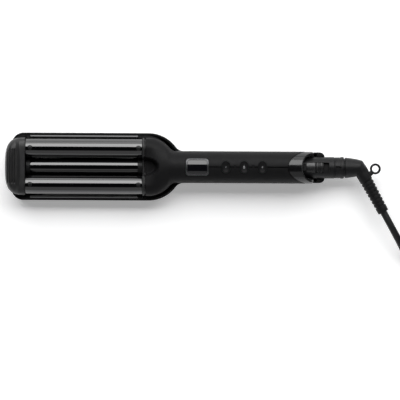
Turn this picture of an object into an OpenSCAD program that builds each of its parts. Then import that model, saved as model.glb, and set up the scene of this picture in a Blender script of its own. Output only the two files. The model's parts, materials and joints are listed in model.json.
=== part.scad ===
// Hair waver: two jaws on a hinged handle, with a swivelling mains cord.
// The waver lies closed on its lower arm. X runs from the cool tip to the
// cord, Y across the jaws and Z up. The origin is on the surface that it lies
// on, midway between the tip and the end of the swivel spindle.

/* [Lengths] */
// Length of the cool tip cap
cap_l = 20.1; // [17:0.1:24]
// Distance between the cool tip and the heat collar
barrel_span = 117.2; // [90:0.2:140]
// Thickness of the heat collar
collar_t = 3; // [2:0.1:5]
// Length from the heat collar to the straight handle
shoulder_l = 34.4; // [30:0.2:42]
// Length from the shoulder to the hinge pin
handle_l = 128.3; // [115:0.1:150]
// Length from the hinge pin to the end of the tail
tail_l = 26.4; // [25:0.2:34]
// Length of the swivel collar
swivel_l = 9.5; // [8.5:0.1:13]
// Gap between the swivel collar and the cord elbow
swivel_gap = 1.1; // [0.6:0.1:2]
// Overhang of the cool tip past the lower jaw
tip_overhang = 6; // [3:0.5:8]

/* [Jaws] */
// Width of the lower jaw
jaw_w = 67.6; // [65:0.2:74]
// Width of the upper jaw and dome
dome_w = 58.4; // [56:0.2:62]
// Width of the cool tip cap
cap_w = 57.4; // [55:0.2:60]
// Radius of the lower jaw's corners, seen from above
jaw_corner_r = 12; // [9:0.5:16]
// Radius of the lower jaw's bottom edge
jaw_edge_r = 8; // [6:0.5:10]
// Wall thickness of the moulded housings
wall = 2.2; // [1.8:0.1:2.4]
// Height of the cool tip cap above the surface
cap_top = 36.6; // [35.5:0.1:40]
// Height of the dome above the surface
dome_top = 38; // [36:0.2:41]

/* [Barrels] */
// Outer diameter of the upper barrels and of the lower crest
barrel_d = 19; // [17:0.1:20]
// Distance between the axes of the upper barrels
barrel_pitch = 36.6; // [35.6:0.1:37.6]
// Wall of the barrels and of the wave plate
barrel_wall = 1.5; // [1:0.1:2.2]
// Gap for the hair between the barrels and the wave plate
hair_gap = 1.5; // [1.2:0.1:2.5]
// Height of the lower crest's axis
crest_z = 15; // [14.5:0.1:15.6]
// Depth that the end stubs reach into a barrel
stub_l = 8; // [5:0.5:12]
// Diameter of the barrel screws' heads
screw_d = 4.5; // [3.6:0.1:5.4]

/* [Handle] */
// Width of the handle
handle_w = 32; // [31:0.2:36]
// Height of the flat sides between the handle's two round edges
side_h = 7; // [6:0.2:9]
// Gap between the two arms at their parting
part_gap = 0.4; // [0.3:0.1:0.8]
// Length of the display window's frame
window_l = 22.6; // [18:0.2:26]
// Width of the display window's frame
window_w = 17; // [14:0.2:19]
// Distance from the start of the handle to the window
window_x = 6.2; // [4:0.2:12]
// Distance from the start of the handle to the first button
button_x = 45.9; // [44:0.1:50]
// Distance between the buttons
button_pitch = 18.2; // [14:0.1:22]
// Length of a button along the handle
button_l = 8.6; // [7:0.1:10]
// Width of a button across the handle
button_w = 12; // [10:0.2:14]
// Travel of a button
button_travel = 0.5; // [0.3:0.05:0.6]

/* [Hinge and tail] */
// Diameter of the hinge pin
pin_d = 5; // [4:0.1:5.6]
// Thickness of the hinge ears
ear_t = 1.8; // [1.4:0.1:1.9]
// Step from the side of the handle in to the side of the tail
tail_step = 5.25; // [5.1:0.05:5.5]
// Diameter of the torsion spring's wire
wire_d = 1.2; // [0.8:0.1:1.3]
// Turns of the torsion spring
spring_turns = 3; // [2:1:3]
// Greatest opening of the arms, in degrees
open_angle = 20; // [12:1:20]
// Length of the lock slider
lock_l = 16.8; // [14:0.2:18]
// Width of the lock slider
lock_w = 9.8; // [8:0.2:10.6]
// Travel of the lock slider
lock_travel = 6; // [3:0.5:6]
// Depth of the swivel spindle's side below the tail's side
spindle_in = 5.75; // [5.3:0.05:6.2]

/* [Cord] */
// Diameter of the cord
cord_d = 7; // [6.6:0.1:7]
// Radius of the hanging eye's hole
eye_r = 3.3; // [2.5:0.1:4]
// Thickness of the hanging eye
eye_t = 2.6; // [2:0.1:4]
// Ribs on the strain relief
relief_ribs = 8; // [5:1:9]
// Turns of the stored coil in each of its two layers
coil_turns = 3.2; // [2.2:1:3.2]
// Distance between the coil's turns
coil_pitch = 7.5; // [7.5:0.1:7.8]

/* [Hidden] */
$fn = 64;

// Clearances: a seat within one body, a running fit, and two bodies side by side
seat = 0.1;
run_fit = 0.05;
side_gap = 0.3;
eps = 0.01;

// Stations along X
whole_l = cap_l + barrel_span + collar_t + shoulder_l + handle_l + tail_l
    + swivel_l + swivel_gap;
tip_x = -whole_l / 2;
cap_x = tip_x + cap_l;
collar_x = cap_x + barrel_span;
dome_x = collar_x + collar_t;
handle_x = dome_x + shoulder_l;
hinge_x = handle_x + handle_l;
tail_x = hinge_x + tail_l;
swivel_x = tail_x + swivel_l;
elbow_x = swivel_x + swivel_gap;

// Heights: the handle's two round edges and the parting between the arms
handle_r = handle_w / 2;
low_z = handle_r;
up_z = low_z + side_h;
part_z = (low_z + up_z) / 2;
low_rim = part_z - part_gap / 2;
up_rim = part_z + part_gap / 2;
flat_half = 0.4;

// Wave: the valleys are concentric with the upper barrels and touch the crest
barrel_r = barrel_d / 2;
barrel_y = barrel_pitch / 2;
valley_r = barrel_r + hair_gap;
crest_to_barrel = barrel_r + valley_r;
barrel_z = crest_z + sqrt(crest_to_barrel * crest_to_barrel - barrel_y * barrel_y);
crest_angle = atan2(barrel_z - crest_z, barrel_y);
bead_r = 1.5;
tray_half = jaw_w / 2 - wall;
bead_y = tray_half - seat - bead_r;
bead_z = barrel_z - sqrt(pow(valley_r + bead_r, 2) - pow(bead_y - barrel_y, 2));
bead_angle = atan2(bead_z - barrel_z, bead_y - barrel_y);
pad_w = 12;
lap = 0.6;
pad_z = barrel_z - valley_r - barrel_wall - 0.9;
plate_inset = 4.6;
plate_x0 = cap_x + plate_inset;
plate_x1 = collar_x - plate_inset;
heater_t = 2.8;
clamp_t = 1.2;
clamp_z = pad_z - heater_t - clamp_t;
cover_t = 2;
barrel_gap = 0.5;
barrel_x0 = cap_x + barrel_gap;
barrel_x1 = collar_x - seat;
bore_r = barrel_r - barrel_wall;
stub_r = bore_r - seat;

// Plan of the lower jaw: tip corners, shoulder arc and the fillet to the handle
jaw_half = jaw_w / 2;
jaw_tip = tip_x + tip_overhang;
jaw_fillet = 10;
// Plan of the dome
dome_half = dome_w / 2;
dome_fillet = 8;
dome_cx = dome_x + 2.2;

// Hinge, lock and swivel
tail_r = handle_r - tail_step;
pin_r = pin_d / 2;
ear_y = tail_r + side_gap;
ear_r = 6.2;
ear_run = 8;
pin_half = ear_y + ear_t + 0.25;
tail_front = hinge_x - 8;
cover_end = hinge_x - 15.5;
cup_inset = 0.6;
cup_wall = 2;
cup_x = hinge_x - 2.5;
cup_l = 14;
cup_taper = 5.7;
rear_wall_x = hinge_x + 9;
lock_x = hinge_x - 2;
lock_base_z = part_z + tail_r - 4.15;
lock_top_r = tail_r + 0.85;
tongue_l = 3.2;
tongue_half = 3;
tongue_t = 2;
tongue_z = part_z + lock_top_r - 0.6 - tongue_t;
spring_r = 4;
spring_pitch = wire_d + 0.5;
spring_slot = (spring_turns + 0.5) * spring_pitch + wire_d + 0.8;
spring_room = spring_r + wire_d / 2 + 0.7;
spindle_r = tail_r - spindle_in;
flange_r = spindle_r + 2.2;
flange_t = 2;
nose_r = spindle_r - 1.6;
ring_r = nose_r + 1.2;
cavity_r = flange_r + 1;
bearing_l = 4.6;
brush_gap = 0.3;

// Display, board and buttons, measured from the axis of the handle's top
window_r = 3;
frame_w = 1.5;
frame_x = handle_x + window_x;
skin_r = handle_r - wall;
board_drop = 8;
board_top = up_z + handle_r - board_drop;
board_t = 1.6;
lip_t = 0.9;
lip_r = skin_r - 0.2;
plunger_z = up_z + lip_r - lip_t - button_travel - side_gap;
button_xs = [for (i = [0:2]) handle_x + button_x + i * button_pitch];

// Elbow, strain relief and the cord's own route
elbow_run = 14.6;
bend = [elbow_x + elbow_run, 0, part_z];
relief_end = [209, -44.2, 19.5];
relief_angle = atan2(relief_end.y - bend.y, relief_end.x - bend.x);
relief_l = norm(relief_end - bend);
relief_r0 = 6.7;
relief_r1 = 4.9;
cord_r = cord_d / 2;
tie_t = 0.6;
cord_z = cord_r + tie_t;
layer_h = cord_d + 0.6;
lead_points = [relief_end, [212.4, -50.3, 19.5], [215.8, -56.5, 19.2],
    [220.1, -64.2, 17.8], [224.5, -72.1, 15.2], [228.9, -80.1, 11.8],
    [233.2, -87.9, 8.4], [237.1, -94.9, 5.8], [240.5, -101.1, 4.4],
    [243.9, -107.2, 4.1]];
coil_c = [290.3, -81.5];
coil_r = 53;
coil_start = 209;
end_points = [[344.1, -78.2, 11.7], [345.2, -69.2, 11.4], [346.5, -58.3, 9.6],
    [347.8, -47.4, 7.2], [349, -37.5, 5.3], [349.5, -27.5, 4.3],
    [347.8, -17.4, 4.1], [343.4, -8.6, 4.1], [336.8, -1.4, 4.1],
    [328.3, 3.6, 4.6], [318.4, 5.8, 5.8], [309, 6, 7], [302, 6, 7]];
plug_tip = [258, 6, 7];
plug_l = 30;
plug_h = 14;
plug_w = 35.2;
plug_grip_w = 18;
plug_shoulder = 10;
plug_edge = 2.5;
pin_len = 19;
pins_apart = 18.6;

// ---- Functions ----

function mix(a, b, t) = a + (b - a) * t;
function clamp01(t) = min(1, max(0, t));
function smooth(t) = let (u = clamp01(t)) u * u * (3 - 2 * u);

// Half width of a shoulder of radius r at cx that runs through a fillet f
// into a straight handle of half width h
function neck_x(cx, r, f, h) = cx + sqrt(pow(r + f, 2) - pow(h + f, 2));
function shoulder_w(x, cx, r, f, h) =
    let (nx = neck_x(cx, r, f, h), tx = cx + r * (nx - cx) / (r + f))
    x <= cx ? r
    : x < tx ? sqrt(r * r - pow(x - cx, 2))
    : x < nx ? h + f - sqrt(f * f - pow(nx - x, 2))
    : h;

// Lower jaw and handle: half width at x, inset by d
jaw_cx = handle_x - (neck_x(0, jaw_half, jaw_fillet, handle_r));
function jaw_w_at(x, d) =
    let (r = jaw_corner_r - d, cx = jaw_tip + jaw_corner_r)
    x < cx ? jaw_half - jaw_corner_r + sqrt(max(0, r * r - pow(cx - x, 2)))
    : shoulder_w(x, jaw_cx, jaw_half - d, jaw_fillet + d, handle_r - d);

// Radius of the lower arm's bottom edge at x
function edge_r(x) = mix(jaw_edge_r, handle_r - flat_half,
    smooth((x - jaw_cx) / (handle_x - jaw_cx)));

// Section of the lower arm at x, inset by d: rim, round edge, floor, and back
function tip_lift(x, d) = let (r = jaw_edge_r - d, u = jaw_tip + jaw_edge_r - x)
    u > 0 ? r - sqrt(max(0, r * r - u * u)) : 0;
function low_half(x, d, n) =
    let (w = jaw_w_at(x, d), r = edge_r(x) - d, zc = d + tip_lift(x, d) + r)
    concat([[x, w, low_rim]],
        [for (k = [0:n]) let (a = 90 * k / n) [x, w - r + r * cos(a), zc - r * sin(a)]]);
function mirror_y(points) = [for (i = [len(points) - 1:-1:0])
    [points[i].x, -points[i].y, points[i].z]];
function low_section(x, d, n) = let (h = low_half(x, d, n)) concat(h, mirror_y(h));

// Upper arm: half width and height of the moulded crown
function dome_w_at(x, d) = shoulder_w(x, dome_cx, dome_half - d, dome_fillet + d,
    handle_r - d);
dome_neck = neck_x(dome_cx, dome_half, dome_fillet, handle_r);
hump_r = dome_half - barrel_y;
hump_run = 17;
saddle = 0.09;
cave_l = 14;
cave_half = 9.6;
cave_soft = 0.32;
cave_z = up_rim + cover_t + wall + side_gap;
crease_h = 0.45;
crease_run = 5;
// Front of the crown: a round shoulder over each barrel, and a saddle between
function front_z(y) = barrel_z + (abs(y) > barrel_y
    ? sqrt(max(0, hump_r * hump_r - pow(abs(y) - barrel_y, 2)))
    : hump_r - saddle * (barrel_y - abs(y)));
// Cave behind the lower crest: 1 on its floor, 0 at its edge; d widens it
function cave(x, y, d) = smooth(
    (1 - norm([(x - dome_x) / (cave_l + d), y / (cave_half + d)])) / cave_soft);
function crease(x) = crease_h * max(0, 1 - pow((x - dome_neck + 2.5) / crease_run, 2));
function crown_z(x, y, w, d) =
    let (t = smooth((x - dome_x) / (dome_neck - dome_x)),
        arch = sqrt(max(0, 1 - pow(y / w, 2))),
        side = mix(barrel_z, up_z, t),
        rise = mix(dome_top - barrel_z, handle_r, t) - crease(x),
        top = mix(front_z(y), side + rise * arch, smooth((x - dome_x) / hump_run)))
    mix(top, cave_z, cave(x, y, d));
function up_section(x, d, n) =
    let (w = dome_w_at(x, 0))
    concat([[x, d - w, up_rim]],
        [for (k = [0:n]) let (a = 180 - 180 * k / n, y = w * cos(a))
            [x, y - d * cos(a), crown_z(x, y, w, d) - d * sin(a)]],
        [[x, w - d, up_rim]]);

// The y and z of a section, for extruding it along X
function flat_yz(points) = [for (p = points) [p.y, p.z]];
function reversed(list) = [for (i = [len(list) - 1:-1:0]) list[i]];

// Faces of a grid of m rows of n points that starts at index b
function grid_faces(m, n, b, flip) = [for (i = [0:m - 2], j = [0:n - 2])
    let (p = b + i * n + j, q = p + n)
    each flip ? [[p, q + 1, p + 1], [p, q, q + 1]] : [[p, p + 1, q + 1], [p, q + 1, q]]];
// Faces of the strip between two lists of indices
function strip_faces(u, v) = [for (i = [0:len(u) - 2])
    each [[u[i], u[i + 1], v[i + 1]], [u[i], v[i + 1], v[i]]]];

// Tube of radius r and k sides along a list of points
function unit(v) = v / norm(v);
function tangent_at(path, i) = unit(path[min(i + 1, len(path) - 1)] - path[max(i - 1, 0)]);
function ring_at(p, t, r, k) =
    let (side = unit(cross(t, [0, 0, 1])), up = cross(side, t))
    [for (j = [0:k - 1]) let (a = 360 * (j + 0.5) / k)
        p + r * (cos(a) * side + sin(a) * up)];
function tube_points(path, r, k) = [for (i = [0:len(path) - 1])
    each ring_at(path[i], tangent_at(path, i), r, k)];
function tube_faces(m, k) = concat([[for (j = [0:k - 1]) j]],
    [for (i = [0:m - 2], j = [0:k - 1])
        let (p = i * k + j, q = i * k + (j + 1) % k)
        each [[p, p + k, q + k], [p, q + k, q]]],
    [[for (j = [k - 1:-1:0]) (m - 1) * k + j]]);

// The coil spirals in on the floor, climbs a layer in the half turn about its
// reversal, and spirals out again on the first layer
coil_sweep = 360 * coil_turns;
coil_steps = round(2 * coil_turns * 24);
function coil_point(s) =
    let (a = s * coil_sweep,
        r = coil_r - coil_pitch * (coil_turns - abs(a - coil_sweep) / 360),
        climb = smooth((a - coil_sweep + 90) / 180))
    [coil_c.x + r * cos(coil_start + a), coil_c.y + r * sin(coil_start + a),
        cord_z + layer_h * climb];
coil_path = [for (i = [0:coil_steps]) coil_point(2 * i / coil_steps)];
// Least gap between turns: rings nearer than a third of a turn are one stretch
stretch = 8;
coil_gap = min([for (i = [0:coil_steps - stretch], j = [i + stretch:coil_steps])
    norm(coil_path[i] - coil_path[j])]) - cord_d;
echo(coil_gap = coil_gap);
echo(coil_length = 2 * PI * 2 * coil_turns * (coil_r - coil_pitch * coil_turns / 2));

// ---- Helpers ----

// Extrude a profile in Y and Z along X, or one in X and Z along Y
module along_x(x, l) translate([x, 0, 0]) rotate([90, 0, 90]) linear_extrude(l) children();
module along_y(y, l) translate([0, y + l, 0]) rotate([90, 0, 0]) linear_extrude(l) children();
module rod_x(x, y, z, l, r) translate([x, y, z]) rotate([0, 90, 0]) cylinder(h = l, r = r);
module rod_y(x, y, z, l, r) translate([x, y, z]) rotate([-90, 0, 0]) cylinder(h = l, r = r);
module both_sides() {
    children();
    mirror([0, 1, 0]) children();
}
module block(x0, x1, half_w, z0, z1)
    translate([x0, -half_w, z0]) cube([x1 - x0, 2 * half_w, z1 - z0]);

// Closed shell between an outer and an inner grid of the same size. The first
// rows are an open end, or a wall across it where walled is true.
module moulded(outer, inner, walled = false) {
    m = len(outer);
    n = len(outer[0]);
    b = m * n;
    rim_a = [for (i = [0:m - 1]) i * n];
    rim_b = [for (i = [0:m - 1]) i * n + n - 1];
    row_0 = [for (j = [0:n - 1]) j];
    row_m = [for (j = [0:n - 1]) (m - 1) * n + j];
    function inside(list) = [for (i = list) i + b];
    polyhedron(concat([for (row = outer) each row], [for (row = inner) each row]),
        concat(grid_faces(m, n, 0, false), grid_faces(m, n, b, true),
            strip_faces(rim_a, inside(rim_a)), strip_faces(inside(rim_b), rim_b),
            strip_faces(row_m, inside(row_m)),
            walled ? [reversed(row_0), inside(row_0), [0, b, b + n - 1, n - 1]]
                : strip_faces(inside(row_0), row_0)));
}

module tube(path, r, k) polyhedron(tube_points(path, r, k), tube_faces(len(path), k));

// Plan of the lower arm between two stations, inset by d
module low_plan(x0, x1, d, n) {
    xs = [for (i = [0:n]) mix(x0, x1, i / n)];
    polygon(concat([for (x = xs) [x, jaw_w_at(x, d)]],
        [for (x = reversed(xs)) [x, -jaw_w_at(x, d)]]));
}
module up_plan(x0, x1, d, n) {
    xs = concat([for (i = [0:n]) mix(x0, dome_neck, i / n)], [x1]);
    polygon(concat([for (x = xs) [x, dome_w_at(x, d)]],
        [for (x = reversed(xs)) [x, -dome_w_at(x, d)]]));
}

// Rounded rectangle, and a stadium
module rounded(l, w, r) hull() for (x = [r, l - r], y = [r - w / 2, w / 2 - r])
    translate([x, y]) circle(r, $fn = 32);
module stadium(l, w) {
    translate([0, -(w - l) / 2]) circle(l / 2);
    translate([0, (w - l) / 2]) circle(l / 2);
    square([l, w - l], center = true);
}

// Half ellipse in plan that bounds the hinge cap; it opens towards the cord
module cap_plan(back_x, reach, half_w, grow)
    polygon([for (i = [0:24]) let (a = 90 + 180 * i / 24)
        [back_x + (reach + grow) * cos(a), (half_w + grow) * sin(a)]]);

// Cylinder wall about the handle's upper axis, between two radii
module crown_band(x0, x1, r0, r1) difference() {
    rod_x(x0, 0, up_z, x1 - x0, r1);
    rod_x(x0 - 1, 0, up_z, x1 - x0 + 2, r0);
}

// ---- Lower arm ----

edge_steps = 7;
tip_rows = 7;
neck_rows = 13;
low_xs = concat(
    [for (i = [0:tip_rows]) jaw_tip + jaw_corner_r * (1 - cos(90 * i / tip_rows))],
    [for (i = [0:neck_rows]) mix(jaw_cx, handle_x, i / neck_rows)]);
function low_grid(d) =
    let (l = handle_x - jaw_tip)
    [for (x = low_xs) low_section(jaw_tip + d + (x - jaw_tip) * (l - d) / l, d, edge_steps)];

module lower_profile(d)
    polygon(flat_yz(low_section(handle_x, d, edge_steps)));

module lower_housing() color([0.13, 0.13, 0.13]) difference() {
    union() {
        moulded(low_grid(0), low_grid(wall), walled = true);
        along_x(handle_x, cup_x - handle_x) difference() {
            lower_profile(0);
            translate([0, eps]) lower_profile(wall);
        }
        along_x(cup_x, rear_wall_x - cup_x) difference() {
            lower_profile(cup_inset);
            translate([0, eps]) lower_profile(cup_inset + cup_wall);
        }
        // Rear wall that closes on the tail
        intersection() {
            hull() {
                along_x(rear_wall_x, hinge_x + cup_l - cup_taper / 2 - rear_wall_x)
                    lower_profile(cup_inset);
                rod_x(hinge_x + cup_l, 0, part_z, cup_taper / 2, tail_r + 0.6, $fn = 32);
            }
            block(rear_wall_x, tail_x, jaw_half, 0, low_rim);
        }
        // Rib under the torsion spring's lower leg
        block(spring_leg_x, spring_leg_x + rib_t, 9, wall - 0.5, spring_low_z);
        // Posts under the heater clamp
        for (x = clamp_posts) translate([x, 0, wall - 0.5])
            cylinder(h = clamp_z - wall + 0.5, r = 3.2);
    }
    rod_x(rear_wall_x - 1, 0, part_z, tail_x, tail_r + run_fit);
    // Relief behind the pivot for the opening arm
    along_y(-handle_w, 2 * handle_w) polygon([[hinge_x + 1, up_rim],
        [rear_wall_x, up_rim], [rear_wall_x, low_rim - 3.2],
        [hinge_x + 6, low_rim - 3.2]]);
}

rib_t = 3;
spring_leg_x = hinge_x - 14;
spring_low_z = part_z - spring_r - wire_d / 2 - side_gap;
clamp_posts = [mix(plate_x0, plate_x1, 0.25), mix(plate_x0, plate_x1, 0.75)];

module lower_tip_cover() color([0.2, 0.2, 0.2])
    translate([0, 0, low_rim - cover_t]) linear_extrude(cover_t)
        low_plan(jaw_tip + wall + seat, cap_x - side_gap, wall + seat, 20);

// The wave: crest and valleys as one sheet, with a bead along each side
module sector(r0, r1, a0, a1) intersection() {
    difference() {
        circle(r1, $fn = 96);
        circle(r0, $fn = 96);
    }
    polygon(concat([[0, 0]], [for (i = [0:4]) let (a = mix(a0, a1, i / 4))
        2 * r1 * [cos(a), sin(a)]]));
}
module wave_profile() {
    translate([0, crest_z]) sector(barrel_r - barrel_wall, barrel_r,
        crest_angle - lap, 180 - crest_angle + lap);
    for (s = [0, 1]) mirror([s, 0]) translate([barrel_y, barrel_z]) {
        sector(valley_r, valley_r + barrel_wall, 180 + crest_angle - lap, 360 + bead_angle);
        translate([-pad_w / 2, pad_z - barrel_z])
            square([pad_w, barrel_z - valley_r - pad_z - barrel_wall / 2]);
        translate([bead_y - barrel_y, bead_z - barrel_z]) circle(bead_r, $fn = 32);
    }
}
module wave_plate() color([0.05, 0.05, 0.05])
    along_x(plate_x0, plate_x1 - plate_x0) wave_profile();

module support_profile() difference() {
    union() {
        intersection() {
            polygon(flat_yz(low_section(jaw_cx, wall + seat, edge_steps)));
            translate([-jaw_half, 0]) square([jaw_w, low_rim - seat]);
        }
        translate([0, crest_z]) circle(barrel_r - 0.3);
    }
    for (s = [-1, 1]) translate([s * barrel_y, barrel_z]) circle(valley_r + 0.3, $fn = 96);
}
module plate_supports() color([0.16, 0.16, 0.16]) {
    along_x(cap_x + 0.6, plate_inset - 0.6 - seat) support_profile();
    along_x(plate_x1 + seat, plate_inset - 2 * seat) support_profile();
}

heater_inset = 9;
module plate_heaters() color([0.9, 0.88, 0.82]) for (s = [-1, 1])
    translate([plate_x0 + heater_inset, s * barrel_y - pad_w / 2 + 1, pad_z - heater_t])
        cube([plate_x1 - plate_x0 - 2 * heater_inset, pad_w - 2, heater_t]);

module heater_clamp() color([0.72, 0.72, 0.74]) difference() {
    block(plate_x0 + heater_inset + 6, plate_x1 - heater_inset - 6, barrel_y + 4,
        clamp_z, clamp_z + clamp_t);
    for (i = [-1, 1]) translate([(plate_x0 + plate_x1) / 2 + i * 12, 0, clamp_z - 1])
        cylinder(h = clamp_t + 2, r = 4);
}

fuse_r = 2;
module thermal_fuse() color([0.8, 0.8, 0.78]) {
    rod_x((plate_x0 + plate_x1) / 2 - 6, 0, clamp_z + clamp_t + fuse_r, 12, fuse_r);
    rod_x((plate_x0 + plate_x1) / 2 - 20, 0, clamp_z + clamp_t + fuse_r, 14, 0.5);
    rod_x((plate_x0 + plate_x1) / 2 + 6, 0, clamp_z + clamp_t + fuse_r, 14, 0.5);
}

module lower_inner_cover() color([0.12, 0.12, 0.12]) {
    translate([0, 0, low_rim - cover_t]) linear_extrude(cover_t)
        low_plan(collar_x + side_gap, handle_x, wall + seat, 24);
    block(handle_x - eps, cover_end, skin_r - seat, low_rim - cover_t, low_rim);
}

module tail_housing() color([0.15, 0.15, 0.15]) difference() {
    rod_x(tail_front, 0, part_z, tail_x - tail_front, tail_r);
    rod_y(hinge_x, -handle_w, part_z, 2 * handle_w, pin_r + run_fit);
    // Room for the torsion spring, open to the front
    rod_y(hinge_x, -spring_slot / 2, part_z, spring_slot, spring_room);
    block(tail_front - 1, hinge_x, spring_slot / 2, part_z - spring_room,
        part_z + spring_room);
    // Slot of the lock: the window, the undercut and the leaf's pocket
    block(lock_x, lock_x + lock_l + lock_travel + 0.3, lock_w / 2 + 0.1,
        lock_base_z, part_z + tail_r + 1);
    block(lock_x, lock_x + lock_l + lock_travel + 0.3, lock_w / 2 + 0.9,
        lock_base_z, lock_base_z + 1.7);
    block(lock_x + 5, lock_x + lock_l, 2.4, lock_base_z - 1.5, lock_base_z + 1);
    block(tail_front - 1, lock_x + 1, tongue_half + side_gap, tongue_z - 0.2,
        part_z + tail_r + 1);
    // Chamber of the slip rings
    rod_x(tail_x - 4.5, 0, part_z, 5, cavity_r);
}

module hinge_pin() color([0.75, 0.75, 0.77])
    rod_y(hinge_x, -pin_half, part_z, 2 * pin_half, pin_r);

// Torsion spring: the upper leg, the turns and the lower leg as one wire
spring_leg_l = 13.5;
spring_path = concat(
    [[hinge_x - spring_leg_l, -spring_pitch * (spring_turns + 0.5) / 2, part_z + spring_r],
        [hinge_x - 2, -spring_pitch * (spring_turns + 0.5) / 2, part_z + spring_r]],
    [for (i = [0:12 * spring_turns + 6]) let (t = i / 12, a = 90 - 360 * t)
        [hinge_x + spring_r * cos(a), spring_pitch * (t - (spring_turns + 0.5) / 2),
            part_z + spring_r * sin(a)]],
    [[hinge_x - 2, spring_pitch * (spring_turns + 0.5) / 2, part_z - spring_r],
        [hinge_x - spring_leg_l, spring_pitch * (spring_turns + 0.5) / 2,
            part_z - spring_r]]);
function wire_ring(p, t, r, k) =
    let (side = unit(cross(t, [0, 1, 0])), up = cross(side, t))
    [for (j = [0:k - 1]) let (a = 360 * j / k) p + r * (cos(a) * side + sin(a) * up)];
module hinge_spring() color([0.6, 0.6, 0.62]) {
    m = len(spring_path);
    polyhedron([for (i = [0:m - 1])
        each wire_ring(spring_path[i], tangent_at(spring_path, i), wire_d / 2, 6)],
        tube_faces(m, 6));
}

module lock_spring() color([0.8, 0.66, 0.36]) difference() {
    block(lock_x + 6, lock_x + lock_l - 1, 2, lock_base_z - 1.4, lock_base_z - 0.1);
    block(lock_x + 8, lock_x + lock_l - 3, 3, lock_base_z - 1.5, lock_base_z - 0.7);
}

module swivel_collar() color([0.14, 0.14, 0.14]) difference() {
    union() {
        rod_x(tail_x, 0, part_z, swivel_l, tail_r - 0.3);
        rod_x(swivel_x - 3.4, 0, part_z, 3.4, tail_r + 0.15);
    }
    rod_x(tail_x - 1, 0, part_z, swivel_l - bearing_l + 1, cavity_r);
    rod_x(tail_x, 0, part_z, swivel_l + 1, spindle_r + run_fit);
    // Index window
    block(tail_x + 1, tail_x + 6, 1.6, part_z + tail_r - 1, part_z + tail_r + 1);
}

ring_xs = [tail_x - 3, tail_x];
ring_w = 1.5;
module contact_brushes() color([0.75, 0.6, 0.3]) for (x = ring_xs, s = [-1, 1])
    intersection() {
        translate([x, -1.5, part_z + (s > 0 ? ring_r + brush_gap : -cavity_r)])
            cube([ring_w, 3, cavity_r - ring_r - brush_gap]);
        rod_x(x - 1, 0, part_z, ring_w + 2, cavity_r - 0.02);
    }

// ---- Lock ----

module lock_slider() color([0.2, 0.2, 0.2]) difference() {
    intersection() {
        union() {
            block(lock_x + 0.1, lock_x + lock_l, lock_w / 2, lock_base_z + 0.1,
                part_z + lock_top_r + 1);
            block(lock_x + 0.1, lock_x + lock_l, lock_w / 2 + 0.7, lock_base_z + 0.1,
                lock_base_z + 1.5);
            block(lock_x - tongue_l, lock_x + 2, tongue_half, tongue_z,
                tongue_z + tongue_t);
        }
        rod_x(lock_x - 5, 0, part_z, lock_l + 6, lock_top_r);
    }
    // Finger grooves
    for (i = [0, 1, 2]) translate([lock_x + lock_l - 0.4 - 3.3 * i, 0, part_z + lock_top_r + 0.6])
        rotate([90, 0, 0]) cylinder(h = lock_w + 2, r = 1.2, center = true, $fn = 24);
}

// ---- Upper arm ----

crown_steps = 32;
dome_rows = 18;
up_xs = [for (i = [0:dome_rows]) mix(dome_x, handle_x, i / dome_rows)];
function up_grid(d) = [for (x = up_xs) up_section(x, d, crown_steps)];
module up_profile(d) polygon(flat_yz(up_section(handle_x, d, crown_steps)));
module up_skin() difference() {
    up_profile(0);
    translate([0, -eps]) up_profile(wall);
}
cap_back = hinge_x + 1.5;
cap_reach = 21;
cap_rear = hinge_x + 5;
cap_rear_reach = 10.5;
cap_seam = 0.15;
groove_w = 1;
groove_d = 0.6;

module upper_housing() color([0.14, 0.14, 0.14]) difference() {
    union() {
        moulded(up_grid(0), up_grid(wall));
        along_x(handle_x, cap_back - handle_x) up_skin();
    }
    // The hinge cap's place
    translate([0, 0, part_z]) linear_extrude(handle_w)
        cap_plan(cap_back + eps, cap_reach, handle_r + 1, cap_seam);
    // Window of the display
    translate([frame_x - run_fit, 0, board_top]) linear_extrude(handle_w)
        rounded(window_l + 2 * run_fit, window_w + 2 * run_fit, window_r);
    // Openings of the buttons and the groove that joins them
    for (x = button_xs) translate([x, 0, board_top + 2]) linear_extrude(handle_w)
        stadium(button_l + 0.5, button_w + 0.5);
    translate([frame_x + window_l, -groove_w / 2, up_z + handle_r - groove_d])
        cube([cap_back - cap_reach - frame_x - window_l, groove_w, 2]);
}

bar_z = part_z + spring_r + wire_d / 2 + side_gap;
module upper_chassis() color([0.12, 0.12, 0.12]) {
    translate([0, 0, up_rim]) linear_extrude(cover_t)
        up_plan(dome_x, cover_end, wall + seat, 20);
    // Ears that carry the hinge pin
    both_sides() along_y(ear_y, ear_t) difference() {
        union() {
            translate([hinge_x, part_z]) circle(ear_r);
            translate([cover_end - ear_run, up_rim])
                square([hinge_x - cover_end + ear_run, ear_r - part_gap / 2]);
        }
        translate([hinge_x, part_z]) circle(pin_r + run_fit);
    }
    // Bar that the torsion spring's upper leg pushes on
    block(spring_leg_x, spring_leg_x + rib_t, ear_y + eps, bar_z, up_rim + ear_r - part_gap / 2);
}

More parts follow.
